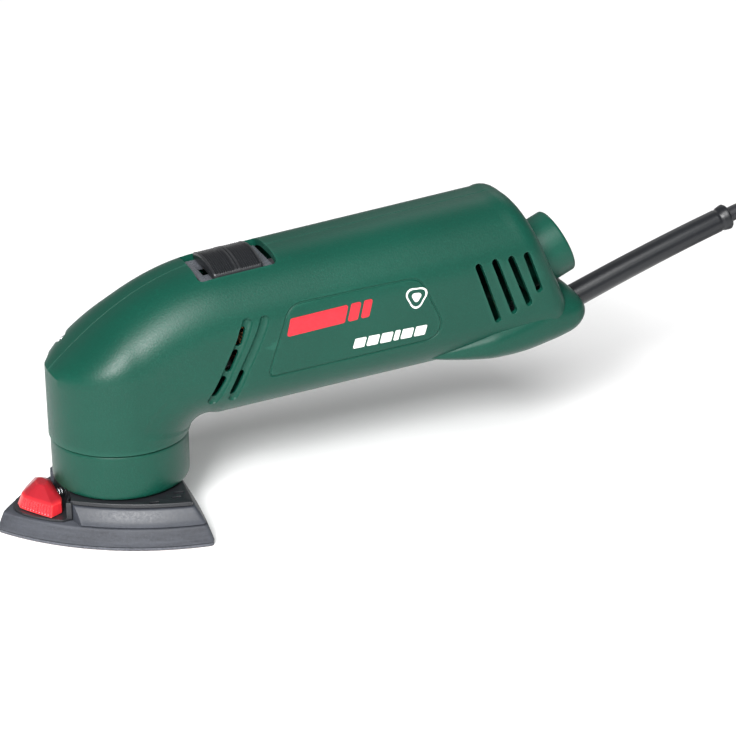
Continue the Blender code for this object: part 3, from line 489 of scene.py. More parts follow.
RUBBER = rubber("cord_rubber_look", (0.011, 0.0115, 0.0145), 0.42)
GUARD_MAT = rubber("guard_rubber_look", (0.0045, 0.0055, 0.0075), 0.33)
LEG_RUBBER = rubber("leg_rubber_look", (0.014, 0.014, 0.015), 0.6)

# red catch: one red plastic, painted lit on the lower sides and painted in shade on the top
_m = Mat("red_catch_look", 0.33)
_g = _m.n("ShaderNodeSeparateXYZ")
_m.l(_m.tc.outputs["Object"], _g.inputs[0])
_drift = _m.noise(60.0, 3.0)
_fine = _m.noise(1600.0, 3.0)
# painted light: a lit red below z = 15 mm and a shaded red above 16.2 mm, two copies of the same red
_red_painted_lit = _m.mix(_m.span(_drift, 0.0, 1.0), (0.56, 0.016, 0.026), (0.66, 0.024, 0.032))
_red_painted_shade = _m.mix(_m.span(_drift, 0.0, 1.0), (0.27, 0.007, 0.014), (0.33, 0.010, 0.018))
_top_shade_mask = _m.span(_g.outputs["Z"], 0.0, 1.0, 0.0150, 0.0162)
_c = _m.mix(_top_shade_mask, _red_painted_lit, _red_painted_shade)
_c = _m.mix(_m.math("MULTIPLY", edge_mask(_m, 0.52, 0.6), 0.45), _c, (0.95, 0.16, 0.12))
_m.colour(_c)
_m.rough(_m.span(_fine, 0.28, 0.40))
_m.b.inputs["Subsurface Weight"].default_value = 0.06
_m.b.inputs["Subsurface Radius"].default_value = (0.6, 0.15, 0.1)
_m.b.inputs["Subsurface Scale"].default_value = 0.002
_m.bump(_fine, 0.00002, 0.5)
RED = _m.done(0.0003)


def plate_look(name, lo, hi, rough, streak, grit, sparkle):
    """Filled plastic or foam of the pad stack: streaks along the sides, mottling, pale flecks, painted highlight along
    the edges.
    """
    m = Mat(name, rough)
    st = m.noise(90.0, 6.0, 0.65, stretch=(0.5, 0.5, 5.0))
    mot = m.noise(grit, 5.0, 0.68)
    fleck = m.voronoi(grit * 1.4)
    drift = m.noise(30.0, 2.0)
    base = m.mix(m.span(st, 0.0, 1.0, 0.34, 0.66), lo, hi)
    base = m.mix(m.span(mot, 0.0, 0.55, 0.42, 0.66), base, shade(hi, 1.30))
    base = m.mix(m.span(fleck, sparkle, 0.0, 0.0, 0.22), base, shade(hi, 2.0))
    base = m.mix(m.span(drift, 0.0, 0.35), base, shade(lo, 0.75))
    # painted highlight: paler colour along the rounded rims, such as the pad's lighter top edge; the rounded shape
    # catches real light as well
    base = m.mix(m.math("MULTIPLY", edge_mask(m), 0.5), base, shade(hi, 1.8))
    m.colour(base)
    m.rough(m.span(mot, rough - 0.08, rough + 0.08))
    m.bump(mot, streak * 3.0, 0.6)
    m.bump(st, streak * 2.0, 0.4)
    return m.done(0.0004)


SHOE = plate_look("grey_shoe_look", (0.022, 0.025, 0.032), (0.037, 0.041, 0.051), 0.50, 0.00003, 900.0, 0.25)
PAD = plate_look("dark_pad_look", (0.019, 0.021, 0.027), (0.045, 0.049, 0.060), 0.66, 0.00008, 620.0, 0.5)

# abrasive sheet: brown grit below, dark hook-and-loop backing on the rim
_m = Mat("abrasive_look", 0.9)
_geo = _m.n("ShaderNodeNewGeometry")
_xyz = _m.n("ShaderNodeSeparateXYZ")
_m.l(_geo.outputs["True Normal"], _xyz.inputs[0])
_under = _m.span(_xyz.outputs["Z"], 1.0, 0.0, -0.7, -0.4)
_grit = _m.voronoi(2600.0)
_n1 = _m.noise(2000.0, 4.0, 0.7)
_loop = _m.noise(800.0, 5.0, 0.7)
_top = _m.mix(_m.span(_loop, 0.0, 1.0), (0.055, 0.058, 0.068), (0.110, 0.117, 0.135))
_bot = _m.mix(_m.span(_grit, 0.0, 1.0, 0.1, 0.6), (0.33, 0.13, 0.055), (0.09, 0.035, 0.02))
_bot = _m.mix(_m.span(_n1, 0.0, 0.4, 0.55, 0.75), _bot, (0.62, 0.34, 0.2))
_m.colour(_m.mix(_under, _top, _bot))
_m.bump(_grit, 0.0002, 0.8)
_m.bump(_loop, 0.0002, 0.4)
ABRASIVE = _m.done()

STEEL = metal("steel_look", (0.60, 0.61, 0.63), 0.26, brush=(1, 1, 6))
BRIGHT = metal("screw_look", (0.52, 0.52, 0.53), 0.3)
ALU = metal("cast_aluminium_look", (0.62, 0.63, 0.65), 0.5, stain=0.2)
BRASS = metal("brass_look", (0.78, 0.58, 0.25), 0.28, stain=0.15)
COPPER_M = metal("copper_look", (0.74, 0.33, 0.17), 0.32, stain=0.2)

# laminated cores: thin sheets stacked along the motor axis
_m = Mat("laminations_look", 0.5, 1.0)
_w = _m.n("ShaderNodeTexWave")
_w.wave_type = "BANDS"
_w.bands_direction = "X"
_w.inputs["Scale"].default_value = 160.0
_w.inputs["Distortion"].default_value = 0.4
_m.l(_m.coords((1, 1, 1), (0, tilt, 0)), _w.inputs["Vector"])
_rust = _m.noise(140.0, 5.0)
_c = _m.mix(_w.outputs["Fac"], (0.20, 0.20, 0.22), (0.38, 0.38, 0.40))
_m.colour(_m.mix(_m.span(_rust, 0.0, 0.3, 0.5, 0.8), _c, (0.26, 0.16, 0.10)))
_m.bump(_w.outputs["Fac"], 0.0002, 0.8)
LAMINATE = _m.done()

# windings: lacquered wire wound in bands
_m = Mat("winding_look", 0.3, 0.85)
_w = _m.n("ShaderNodeTexWave")
_w.wave_type = "RINGS"
_w.rings_direction = "SPHERICAL"
_w.inputs["Scale"].default_value = 230.0
_w.inputs["Distortion"].default_value = 1.2
_w.inputs["Detail"].default_value = 1.0
_m.l(_m.coords(), _w.inputs["Vector"])
_m.colour(_m.mix(_w.outputs["Fac"], (0.34, 0.12, 0.05), (0.80, 0.36, 0.17)))
_m.b.inputs["Coat Weight"].default_value = 0.5
_m.b.inputs["Coat Roughness"].default_value = 0.15
_m.bump(_w.outputs["Fac"], 0.0003, 0.9)
WINDING = _m.done()

# commutator: copper bars with dark insulation between them
_m = Mat("commutator_look", 0.3, 0.9)
_x = _m.n("ShaderNodeSeparateXYZ")
_rot = _m.n("ShaderNodeMapping")
_rot.inputs["Location"].default_value = (0, 0, -0.073)
_m.l(_m.tc.outputs["Object"], _rot.inputs["Vector"])
_rot2 = _m.n("ShaderNodeMapping")
_rot2.inputs["Rotation"].default_value = (0, tilt, 0)
_m.l(_rot.outputs["Vector"], _rot2.inputs["Vector"])
_m.l(_rot2.outputs["Vector"], _x.inputs[0])
_a = _m.math("ARCTAN2", _x.outputs["Y"], _x.outputs["Z"])
_s = _m.math("SINE", _m.math("MULTIPLY", _a, 24.0), 0.0)
_fr = _m.span(_s, 0.0, 1.0, 0.86, 0.96)
_track = _m.noise(700.0, 3.0, 0.5, stretch=(4, 0.3, 0.3))
_m.colour(_m.mix(_fr, _m.mix(_m.span(_track, 0.0, 1.0), (0.55, 0.24, 0.13), (0.80, 0.42, 0.25)), (0.05, 0.035, 0.03)))
_m.bump(_m.math("SUBTRACT", 1.0, _fr), 0.0002, 1.0)
COMMUTATOR = _m.done()

_m = Mat("carbon_look", 0.55)
_n = _m.noise(1200.0, 5.0, 0.7)
_m.colour(_m.mix(_m.span(_n, 0.0, 1.0), (0.018, 0.018, 0.02), (0.055, 0.055, 0.06)))
_m.bump(_n, 0.00008, 0.7)
CARBON = _m.done(0.0003)

FANP = moulded("fan_plastic_look", (0.045, 0.046, 0.050), 0.45, grain=0.0009, wear=0.4)
CAPACITOR = moulded("capacitor_look", (0.48, 0.33, 0.06), 0.35, grain=0.0012, depth=0.00001, vary=0.08)

# plug pins: nickel tips, black sleeves near the body
_m = Mat("pin_look", 0.3)
_g = _m.n("ShaderNodeSeparateXYZ")
_m.l(_m.tc.outputs["Object"], _g.inputs[0])
_tip = _m.span(_g.outputs["Y"], 0.0, 1.0, 0.0800, 0.0803)
_n = _m.noise(900.0, 3.0)
_m.colour(_m.mix(_tip, (0.012, 0.012, 0.014), _m.mix(_m.span(_n, 0.0, 1.0), (0.56, 0.54, 0.50), (0.70, 0.68, 0.63))))
_m.l(_tip, _m.b.inputs["Metallic"])
_m.rough(_m.span(_n, 0.24, 0.4))
_m.bump(_n, 0.00003, 0.5)
PIN = _m.done(0.0004)

for mat_, names in (
    (STEEL, ("spindle_bearing_lower", "spindle_bearing_upper", "motor_bearing_front", "motor_bearing_rear", "pad_bearing",
             "spindle_shaft", "motor_shaft", "bevel_gear", "catch_spring", "clamp_screw_1", "clamp_screw_2")),
    (ALU, ("gear_carrier",)),
    (BRASS, ("drive_pinion", "counterweight", "brush_holder_left", "brush_holder_right")),
    (LAMINATE, ("armature_core", "stator_core")),
    (WINDING, ("armature_winding_front", "armature_winding_rear", "field_coil_front", "field_coil_rear")),
    (COMMUTATOR, ("commutator",)),
    (CARBON, ("carbon_brush_left", "carbon_brush_right")),
    (FANP, ("fan", "switch_link")),
    (BLACK, ("switch_module", "cord_clamp")),
    (SWITCH_FLOOR_PAINTED_HIGHLIGHT, ("switch_frame",)),
    (CAPACITOR, ("capacitor",)),
    (LEG_RUBBER, ("oscillation_leg_1", "oscillation_leg_2", "oscillation_leg_3")),
    (PIN, ("plug_pin_1", "plug_pin_2")),
):
    for nm in names:
        data = NODES[nm].data
        data.materials.clear()
        data.materials.append(mat_)
        NODES[nm]["finish_by"] = mat_.name


# ------------------------------------------------------------------ housing surface, as in the CAD but finer
def roof(x):
    (x0, z0), (x1, z1) = ROOF_START, ROOF_KNEE
    t = np.clip((x - x0) / (x1 - x0), -0.2, 1.0)
    L = x1 - x0
    h = (2 * t**3 - 3 * t**2 + 1) * z0 + (t**3 - 2 * t**2 + t) * L * 1.0 + (3 * t**2 - 2 * t**3) * z1 + (t**3 - t**2) * L * ROOF_SLOPE
    return np.where(x > x1, z1 + (x - x1) * ROOF_SLOPE, h)


def belly(x):
    return BELLY_START[1] + (x - BELLY_START[0]) * BELLY_SLOPE


def inside(p, inset=0.0):
    x, y, z = p.T
    y = np.abs(y)
    head = HEAD_R - inset
    w = np.sqrt(np.maximum(head**2 - np.minimum(x, 0.0) ** 2, 0.0)) - (HEAD_R - HANDLE_HALF) * np.clip(x / 40.0, 0, 1)
    ok = (y <= w) & (x >= -head)
    zt = roof(x) - inset * 1.15
    drop = np.clip(roof(x) - CREASE_Z, 0.0, SHOULDER)
    s = np.clip(y / np.maximum(w, 1e-6), 0, 1)
    flat = 0.12
    q = np.clip((s - flat) / (1 - flat), 0, 1)
    ok &= z <= zt - drop * (1 - np.sqrt(np.maximum(1 - q**2.1, 0)))
    return ok


def section(origin, u, inner, fillet, inset, n, fan):
    origin, u = np.asarray(origin, float), np.asarray(u, float)
    ang = np.pi * 2 * np.arange(n) / n + 1e-4
    t = np.linspace(inner + 1, 95.0, 900)
    pts = origin + t[:, None] * u
    good = inside(pts, inset)
    top = t[good].max() if good.any() else inner + 20
    c = (inner + inset + top) / 2
    half_h = (top - inner - inset) / 2
    lo, hi = np.zeros(n), np.full(n, 90.0)
    dy, ds = np.sin(ang), -np.cos(ang) * half_h / (HANDLE_HALF - inset)
    base = HANDLE_HALF - inset if fan > 0.2 else HEAD_R - inset
    for _ in range(34):
        mid = (lo + hi) / 2
        y, s = mid * dy, c + mid * ds
        p = origin + s[:, None] * u + y[:, None] * YY
        ok = inside(p, inset) & (s >= inner + inset)
        d = s - inner - inset
        r = max(fillet - inset, 1.0)
        edge = np.where(d < r, (base - r) + np.sqrt(np.maximum(r**2 - (r - d) ** 2, 0)), base + 5)
        ok &= np.abs(y) <= edge
        lo, hi = np.where(ok, mid, lo), np.where(ok, hi, mid)
    y, s = lo * dy, c + lo * ds
    return origin + s[:, None] * u + y[:, None] * YY


tail_dir = np.array([math.cos(math.radians(TAIL_TILT)), 0.0, math.sin(math.radians(TAIL_TILT))])


def body_rings(n_fan, n_run, n, inset=0.0, drop=0.0, cap=7):
    rings = []
    C = np.array([ELBOW[0], 0.0, ELBOW[1]])
    if drop:
        ring = section(C, np.array([-1.0, 0.0, 0.0]), ELBOW_R, HEAD_R, inset, n, 0.0)
        ring[:, 2] -= drop
        rings.append(ring)
    end = math.radians(90 - TILT)
    for k in range(n_fan + 1):
        a = end * k / n_fan
        u = np.array([-math.cos(a), 0.0, math.sin(a)])
        fil = HEAD_R + (BELLY_FILLET - HEAD_R) * a / end
        rings.append(section(C, u, ELBOW_R, fil, inset, n, a))
    base = C + UP * ELBOW_R
    tt = math.radians(TAIL_TILT)
    x_end = TAIL_POINT[0] + (TAIL_POINT[1] - belly(TAIL_POINT[0] + 20)) * math.tan(tt) - TAIL_EDGE / math.cos(tt)
    for k in range(1, n_run + 1):
        f = k / n_run
        lean = math.radians(TILT + (TAIL_TILT - TILT) * min(1.0, f * 1.02) ** 2)
        uu = np.array([-math.sin(lean), 0.0, math.cos(lean)])
        x = base[0] + (x_end - base[0]) * f
        o = np.array([x, 0.0, belly(x)])
        rings.append(section(o - uu * 5.0, uu, 5.0, BELLY_FILLET, inset, n, 1.5))
    ring, radius = rings[-1], max(TAIL_EDGE - inset, 1.0)
    tang = np.roll(ring, -1, 0) - np.roll(ring, 1, 0)
    nrm = np.cross(tang, tail_dir)
    nrm /= np.linalg.norm(nrm, axis=1)[:, None]
    nrm *= np.sign(((ring - ring.mean(0)) * nrm).sum(1))[:, None]
    for k in range(1, cap + 1):
        a = math.pi / 2 * k / cap
        rings.append(ring - nrm * radius * (1 - math.cos(a)) + tail_dir * radius * math.sin(a))
    return rings


def boss_rings(n, inset=0.0, count=34):
    rings = []
    fs = list(np.linspace(0.0, 0.88, count)) + [0.9, 0.92, 0.94, 0.955, 0.97, 0.98, 0.988, 0.994, 0.998, 1.0]
    if inset:
        fs = [f for f in np.linspace(0.16, 0.9, 14)]
    for f in fs:
        x = BOSS_X[0] + (BOSS_X[1] - BOSS_X[0]) * f
        bottom = BOSS_LOW + (0.0031 if x < 172.0 else 0.0065) * (x - 172.0) ** 2
        top = 60.0 + 22.0 * min(1.0, f / 0.75) - 4.0 * max(0.0, f - 0.75) / 0.25
        half = 21.0 + 9.9 * min(1.0, f / 0.42) ** 0.8 - 5.2 * f**3.4
        end = max(0.0, (f - 0.9) / 0.1)
        edge = 6.5 * (1 - math.sqrt(max(0.0, 1 - end**2)))
        hw, hh, cz = half - inset - edge, (top - bottom) / 2 - inset - edge, (top + bottom) / 2
        e = 2.0 / 2.7
        ring = []
        for i in range(n):
            ca, sa = math.cos(2 * math.pi * i / n), math.sin(2 * math.pi * i / n)
            ring.append((x, hw * math.copysign(abs(sa) ** e, sa), cz - hh * math.copysign(abs(ca) ** e, ca)))
        rings.append(np.array(ring))
    return rings


def along(s, r=0.0, y=0.0):
    return APEX + AX * s + UP * r + YY * y


shell = loft("housing_outer", body_rings(30, 56, 168))
carve(shell, [(loft("boss", boss_rings(96)), "UNION")])
bvh = BVHTree.FromPolygons([v.co.copy() for v in shell.data.vertices], [tuple(p.vertices) for p in shell.data.polygons])


def on_wall(x, z, side=-1):
    """Point of the outer surface at (x, z) on one side, and its outward normal (mm)."""
    hit, nrm, _, _ = bvh.ray_cast(Vector((x * MM, side * 0.08, z * MM)), Vector((0, -side, 0)))
    if hit is None:
        hit, nrm, _, _ = bvh.find_nearest(Vector((x * MM, side * 0.03, z * MM)))
    if nrm.y * side < 0:
        nrm = -nrm
    return np.array(hit) / MM, np.array(nrm)


def wall_path(pts, side=-1, out=0.0):
    res = []
    for x, z in pts:
        p, nrm = on_wall(x, z, side)
        res.append(p + nrm * out)
    res = np.array(res)
    if len(res) > 6:                        # calm small jumps of the facet normals
        for _ in range(3):
            res[1:-1] = (res[:-2] + 2 * res[1:-1] + res[2:]) / 4
    return res


def groove(name, pts, width, depth, side=-1, closed=False, seg=14, cap=True):
    """Round-bottomed groove cutter that follows the wall."""
    R = ((width / 2) ** 2 + depth**2) / (2 * depth)
    path = wall_path(pts, side, R - depth)
    rad = np.full(len(path), R)
    if cap and not closed:
        s = np.concatenate([[0], np.cumsum(np.linalg.norm(np.diff(path, axis=0), axis=1))])
        reach = width * 0.5
        for end in (s, s[-1] - s):
            near = end < reach
            q = 1 - end[near] / reach
            shrink = (R - depth) + depth * np.sqrt(np.maximum(0.02, 1 - q**2))
            rad[near] = np.minimum(rad[near], shrink)
    return sweep(name, path, rad, seg, closed)


def capsule(a, b, w, k=9):
    (xa, za), (xb, zb) = a, b
    d = np.array([xb - xa, zb - za])
    d /= np.linalg.norm(d)
    nrm = np.array([-d[1], d[0]])
    pts = []
    for end, sgn in (((xa, za), -1), ((xb, zb), 1)):
        for i in range(k + 1):
            t = -math.pi / 2 + math.pi * i / k
            v = d * math.cos(t) * sgn + nrm * math.sin(t) * sgn
            pts.append((end[0] + v[0] * w / 2, end[1] + v[1] * w / 2))
    return pts


FLAT_Y = Matrix(((1, 0, 0, 0), (0, 0, -1, 0), (0, 1, 0, 0), (0, 0, 0, 1)))     # outline (x, z), depth along -Y


def slot_cut(name, a, b, w, side):
    y0, y1 = ((-45, -18) if side < 0 else (18, 45))
    return prism(name, capsule(a, b, w), -y1, -y0, FLAT_Y)


# the hollow inside, with the screw bosses and bearing ribs left standing
SCREWS = [(-17.5, 76.0), (50.3, 53.4), (102.0, 58.5), (164.0, 113.5), (197.0, 61.5)]
RIBS = [(25.6, 29.8, 11.4), (60.0, 62.5, 23.4), (86.0, 88.5, 23.4), (121.2, 124.8, 9.9)]


def rod(name, p0, p1, r, seg=32):
    p0, p1 = np.array(p0, float), np.array(p1, float)
    L = np.linalg.norm(p1 - p0)
    return turned(name, [(0, L), (r, L), (r, 0), (0, 0)], frame_to(p1 - p0, p0), seg)


hollow = loft("hollow", body_rings(14, 20, 72, WALL, 6.0, 4))
tools = [(loft("boss_hollow", boss_rings(48, WALL)), "UNION")]
for i, (sx, sz) in enumerate(SCREWS):
    tools.append((rod(f"post_{i}", (sx, -33, sz), (sx, 33, sz), 4.8, 24), "DIFFERENCE"))
for i, (s0, s1, r) in enumerate(RIBS):
    rib = turned(f"rib_{i}", [(60.0, s1), (60.0, s0), (r, s0), (r, s1)], frame_to(AX, APEX, UP), 64)
    tools.append((rib, "DIFFERENCE"))
carve(hollow, tools)

SLIDE_X, SLIDE_Z = 50.0, 110.9
SL = frame_to(UP, (SLIDE_X, 0, SLIDE_Z), AX)
ACROSS = SL @ Matrix(((0, 0, 1, 0), (1, 0, 0, 0), (0, 1, 0, 0), (0, 0, 0, 1)))

window = loft("window", [[(x, y, z) for x, y in rounded([(-17.8, -15.8), (17.0, -15.8), (17.0, 15.8), (-17.8, 15.8)], [2.5] * 4, 6)] for z in (-13.1, 10.0)])
bake(window, SL)
cuts = [(hollow, "DIFFERENCE"), (window, "DIFFERENCE")]

REAR_VENTS = [((153.4, 100.3), (163.0, 75.0)), ((161.2, 101.3), (170.6, 78.0)), ((168.8, 101.7), (177.8, 80.6)), ((176.2, 102.4), (182.6, 86.2))]
FRONT_VENTS = [((46.6, 87.6), (44.9, 82.1)), ((43.2, 78.0), (40.1, 71.3)), ((37.7, 66.8), (34.0, 60.6)), ((45.6, 68.4), (41.9, 60.6))]
G1 = [(49.4, 92.4), (48.2, 88.8), (46.2, 83.6), (43.6, 78.0), (40.6, 71.9), (37.6, 65.8), (34.9, 60.6), (32.3, 55.8)]
G2 = [(56.9, 92.6), (55.4, 88.0), (53.0, 82.2), (50.3, 76.4), (47.4, 70.6), (44.6, 64.4), (42.9, 60.2), (41.5, 56.1)]
PANEL = rounded([(67.3, 95.6), (125.9, 99.6), (140.3, 71.2), (57.1, 64.7)], [7.0, 5.0, 7.0, 0.8], 8)


def route2(pts, n):
    d3 = smooth_route([(x, 0.0, z) for x, z in pts], n)
    return [(p[0], p[2]) for p in d3]


def closed_run(pts, step=1.6):
    p = np.array(pts + [pts[0]], float)
    s = np.concatenate([[0], np.cumsum(np.linalg.norm(np.diff(p, axis=0), axis=1))])
    n = int(s[-1] / step)
    want = np.linspace(0, s[-1], n, endpoint=False)
    return [(np.interp(w, s, p[:, 0]), np.interp(w, s, p[:, 1])) for w in want]


for side, tag in ((-1, "near"), (1, "far")):
    cuts.append((groove(f"g1_{tag}", route2(G1, 40), 4.8, 1.45, side), "DIFFERENCE"))
    cuts.append((groove(f"g2_{tag}", route2(G2, 40), 4.4, 1.3, side), "DIFFERENCE"))
    cuts.append((groove(f"panel_{tag}", closed_run(PANEL), 1.0, 0.42, side, closed=True, seg=8), "DIFFERENCE"))
    for i, (a, b) in enumerate(REAR_VENTS):
        cuts.append((slot_cut(f"rear_{tag}_{i}", a, b, 3.1, side), "DIFFERENCE"))
    for i, (a, b) in enumerate(FRONT_VENTS):
        cuts.append((slot_cut(f"front_{tag}_{i}", a, b, 3.0, side), "DIFFERENCE"))

tail_mid = np.array([191.3, 0.0, 89.4])
NOZ = frame_to(tail_dir, tail_mid)
cuts.append((turned("nozzle_hole", [(0, 32.0), (15.35, 32.0), (15.35, 0.25), (13.6, 0.25), (13.6, -25.0), (0, -25.0)], NOZ, 72), "DIFFERENCE"))
guard_dir = np.array([math.cos(math.radians(21)), 0.0, math.sin(math.radians(21))])
GUARD_START = np.array([196.0, 0.0, 60.2])
cuts.append((rod("guard_hole", GUARD_START + guard_dir * 6, GUARD_START + guard_dir * 40, 6.0, 48), "DIFFERENCE"))
cuts.append((block("link_way", (-21.4, -3.9, -11.6), (91.6, 3.9, -6.1), SL), "DIFFERENCE"))
carve(shell, cuts)

halves = {}
for name, far in (("shell_left", False), ("shell_right", True)):
    ob = link(name, shell.data.copy())
    lo, hi = ((-SPLIT_GAP / 2, 70) if not far else (-70, SPLIT_GAP / 2))
    steps = [(block(name + "_away", (-80, lo, -5), (280, hi, 170)), "DIFFERENCE")]
    for i, (sx, sz) in enumerate(SCREWS):
        steps.append((rod(f"{name}_hole_{i}", (sx, -12, sz), (sx, 60, sz), 1.95, 24), "DIFFERENCE"))
        if far:
            sink = turned(f"{name}_sink_{i}", [(0, 60.0), (4.1, 60.0), (3.8, 12.5), (0, 12.5)], frame_to((0, 1, 0), (sx, 0, sz)), 36)
            steps.append((sink, "DIFFERENCE"))
    carve(ob, steps, smooth=28.0)
    ob.data.materials.clear()
    ob.data.materials.append(GREEN)
    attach(ob, "housing")
    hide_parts("housing_right" if far else "housing_left")
    halves[name] = ob
bpy.data.objects.remove(shell)

# ------------------------------------------------------------------ generic graphics on the panels
_m = Mat("print_red_look", 0.38)
_n = _m.noise(700.0, 4.0)
_m.colour(_m.mix(_m.span(_n, 0.0, 1.0), (0.44, 0.006, 0.016), (0.54, 0.010, 0.022)))
_m.bump(_n, 0.00002, 0.5)
PRINT_RED = _m.done()
_m = Mat("print_white_look", 0.42)
_n = _m.noise(700.0, 4.0)
_m.colour(_m.mix(_m.span(_n, 0.0, 1.0), (0.62, 0.64, 0.60), (0.74, 0.76, 0.72)))
_m.bump(_n, 0.00002, 0.5)
PRINT_WHITE = _m.done()


def decal(name, outline, mat_, side, hole=None, thick=0.10, lift=0.03):
    """Thin printed or foil area that follows the wall; outline and hole are (x, z) in mm."""
    cu = bpy.data.curves.new(name, "CURVE")
    cu.dimensions = "2D"
    cu.fill_mode = "BOTH"
    for loop in [outline] + ([hole] if hole else []):
        sp = cu.splines.new("POLY")
        sp.points.add(len(loop) - 1)
        for p, (x, z) in zip(sp.points, loop):
            p.co = (x * MM, z * MM, 0, 1)
        sp.use_cyclic_u = True
    tmp = link(name + "_flat", cu)
    me = evaluated(tmp)
    bpy.data.objects.remove(tmp)
    bm = bmesh.new()
    bm.from_mesh(me)
    bmesh.ops.remove_doubles(bm, verts=bm.verts, dist=1e-7)
    bmesh.ops.triangulate(bm, faces=bm.faces)
    for _ in range(3):
        long = [e for e in bm.edges if e.calc_length() > 0.004]
        if long:
            bmesh.ops.subdivide_edges(bm, edges=long, cuts=1)
            bmesh.ops.triangulate(bm, faces=bm.faces)
    flat = [v.co.copy() for v in bm.verts]
    top = bmesh.ops.extrude_face_region(bm, geom=bm.faces[:])
    moved = {v for v in top["geom"] if isinstance(v, bmesh.types.BMVert)}
    for v in bm.verts:
        p, nrm = on_wall(v.co.x / MM, v.co.y / MM, side)
        q = p + nrm * (lift + thick if v in moved else lift - 0.25)
        v.co = Vector(q) * MM
    bmesh.ops.recalc_face_normals(bm, faces=bm.faces)
    bm.to_mesh(me)
    bm.free()
    me.materials.clear()
    me.materials.append(mat_)
    me.shade_smooth()
    me.set_sharp_from_angle(angle=math.radians(30))
    ob = link(name, me)
    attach(ob, "housing")
    return ob


def ring_pts(cx, cz, r, k=3, rot=0.0, n=72, soft=0.30):
    """Rounded k-sided outline."""
    out = []
    for i in range(n):
        a = 2 * math.pi * i / n
        w = 1.0 - soft * 0.5 * (1 + math.cos(k * (a - rot) + math.pi)) * 0.8
        out.append((cx + r * w * math.cos(a), cz + r * w * math.sin(a)))
    return out


for side, tag in ((-1, "near"), (1, "far")):
    def mir(pts):
        return pts
    # a slanted red field crossed by fine gaps
    x0, x1 = 66.6, 103.6
    for k, (fa, fb) in enumerate(((0.0, 0.70), (0.735, 0.86), (0.895, 1.0))):
        xa, xb = x0 + (x1 - x0) * fa, x0 + (x1 - x0) * fb
        za, zb = 81.9 + (xa - x0) * 0.098, 81.9 + (xb - x0) * 0.098
        pts = rounded([(xa - 0.9, za), (xb - 0.9, zb), (xb + 0.9, zb + 7.9), (xa + 0.9, za + 7.9)], [0.9] * 4, 4)
        decal(f"accent_bar_{tag}_{k}", pts, PRINT_RED, side)
    # rounded triangle outline
    decal(f"accent_ring_{tag}", ring_pts(124.4, 91.2, 5.3, 3, 0.5), PRINT_WHITE, side, hole=ring_pts(124.4, 91.2, 4.4, 3, 0.5))
    decal(f"accent_dot_{tag}", ring_pts(124.4, 91.2, 2.3, 3, 0.5, 48), PRINT_WHITE, side)
    # row of slanted bars
    x = 95.2
    for k, w in enumerate((5.2, 5.2, 5.2, 2.4, 5.2, 5.2)):
        z = 71.9 + (x - 95.2) * 0.045
        decal(f"accent_tick_{tag}_{k}", rounded([(x, z), (x + w, z + w * 0.045), (x + w + 1.3, z + 4.6), (x + 1.3, z + 4.6 - w * 0.045)], [0.5] * 4, 3), PRINT_WHITE, side)
        x += w + 0.95

# ------------------------------------------------------------------ head collar
prof = [(24.4, 49.0), (26.9, 49.0), (26.9, 39.9), (27.1, COLLAR_Z1 - 0.1), (28.3, COLLAR_Z1 - 0.25), (COLLAR_R - 0.35, COLLAR_Z1 - 0.6), (COLLAR_R - 0.08, COLLAR_Z1 - 1.15), (COLLAR_R, COLLAR_Z1 - 1.8), (COLLAR_R, 33.0), (COLLAR_R, 26.0),
        (COLLAR_R - 0.02, COLLAR_Z0 + 2.2), (COLLAR_R - 0.16, COLLAR_Z0 + 1.3), (COLLAR_R - 0.5, COLLAR_Z0 + 0.55), (COLLAR_R - 1.1, COLLAR_Z0 + 0.12), (COLLAR_R - 1.7, COLLAR_Z0),
        (27.0, COLLAR_Z0), (26.7, COLLAR_Z0 + 0.2), (26.6, COLLAR_Z0 + 0.6), (26.6, 37.0), (24.4, 38.5)]
collar = turned("collar_skin", prof, None, 160)
collar.data.materials.append(GREEN)
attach(collar, "housing")
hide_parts("head_collar")

# ------------------------------------------------------------------ dust outlet
prof = rounded([(12.2, 15.6), (15.0, 15.6), (15.0, 0.6), (13.2, 0.6), (13.2, -8.0), (12.0, -8.0), (12.0, 0.0)], [0.5, 1.9, 0.0, 0.2, 0.3, 0.3, 0.0], 6)
outlet = turned("outlet_skin", prof, NOZ, 120)
outlet.data.materials.append(GREEN)
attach(outlet, "housing")
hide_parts("dust_outlet")

# ------------------------------------------------------------------ case screws with cross recess
for i, (sx, sz) in enumerate(SCREWS, 1):
    head = turned(f"case_screw_body_{i}", [(0, 15.0), (1.2, 14.98), (2.2, 14.8), (2.9, 14.45), (3.3, 13.9), (3.3, 13.0), (3.1, 12.85), (1.6, 12.8), (1.6, -10.0), (0.7, -11.3), (0, -11.5)], None, 48)
    cross = []
    for k in range(4):
        a = math.pi / 2 * k
        c, s = math.cos(a), math.sin(a)
        for px, py in ((0.42, 0.42), (1.75, 0.36), (1.75, -0.36)):
            cross.append((px * c + py * s, px * s - py * c))
    cross = sorted(cross, key=lambda q: math.atan2(q[1], q[0]))
    carve(head, [(prism(f"cross_{i}", cross, 13.5, 16.0), "DIFFERENCE")])
    bake(head, frame_to((0, 1, 0), (sx, 0, sz)))
    head.data.materials.clear()
    head.data.materials.append(BRIGHT)
    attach(head, "housing")
    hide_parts(f"case_screw_{i}")

# ------------------------------------------------------------------ switch slider with ribbed pads
N_Y = 56


def arch(y):
    return 1.3 - 0.0145 * y * y


def rib_height(x):
    """Height of the slider's top above its base arch at local x (mm)."""
    ax = abs(x)
    if ax > 9.9:
        return -0.05 - max(0.0, ax - 10.5) ** 2 * 0.9
    if ax < 1.25:
        return -0.05 if ax > 0.22 else -0.45
    if ax < 1.5:
        return -0.5
    t = (ax - 1.5) / (9.6 - 1.5)
    if t > 1:
        return -0.5
    wave = 0.5 + 0.5 * math.cos(2 * math.pi * (t * 8.5))
    return -1.0 + 0.72 * wave**1.6


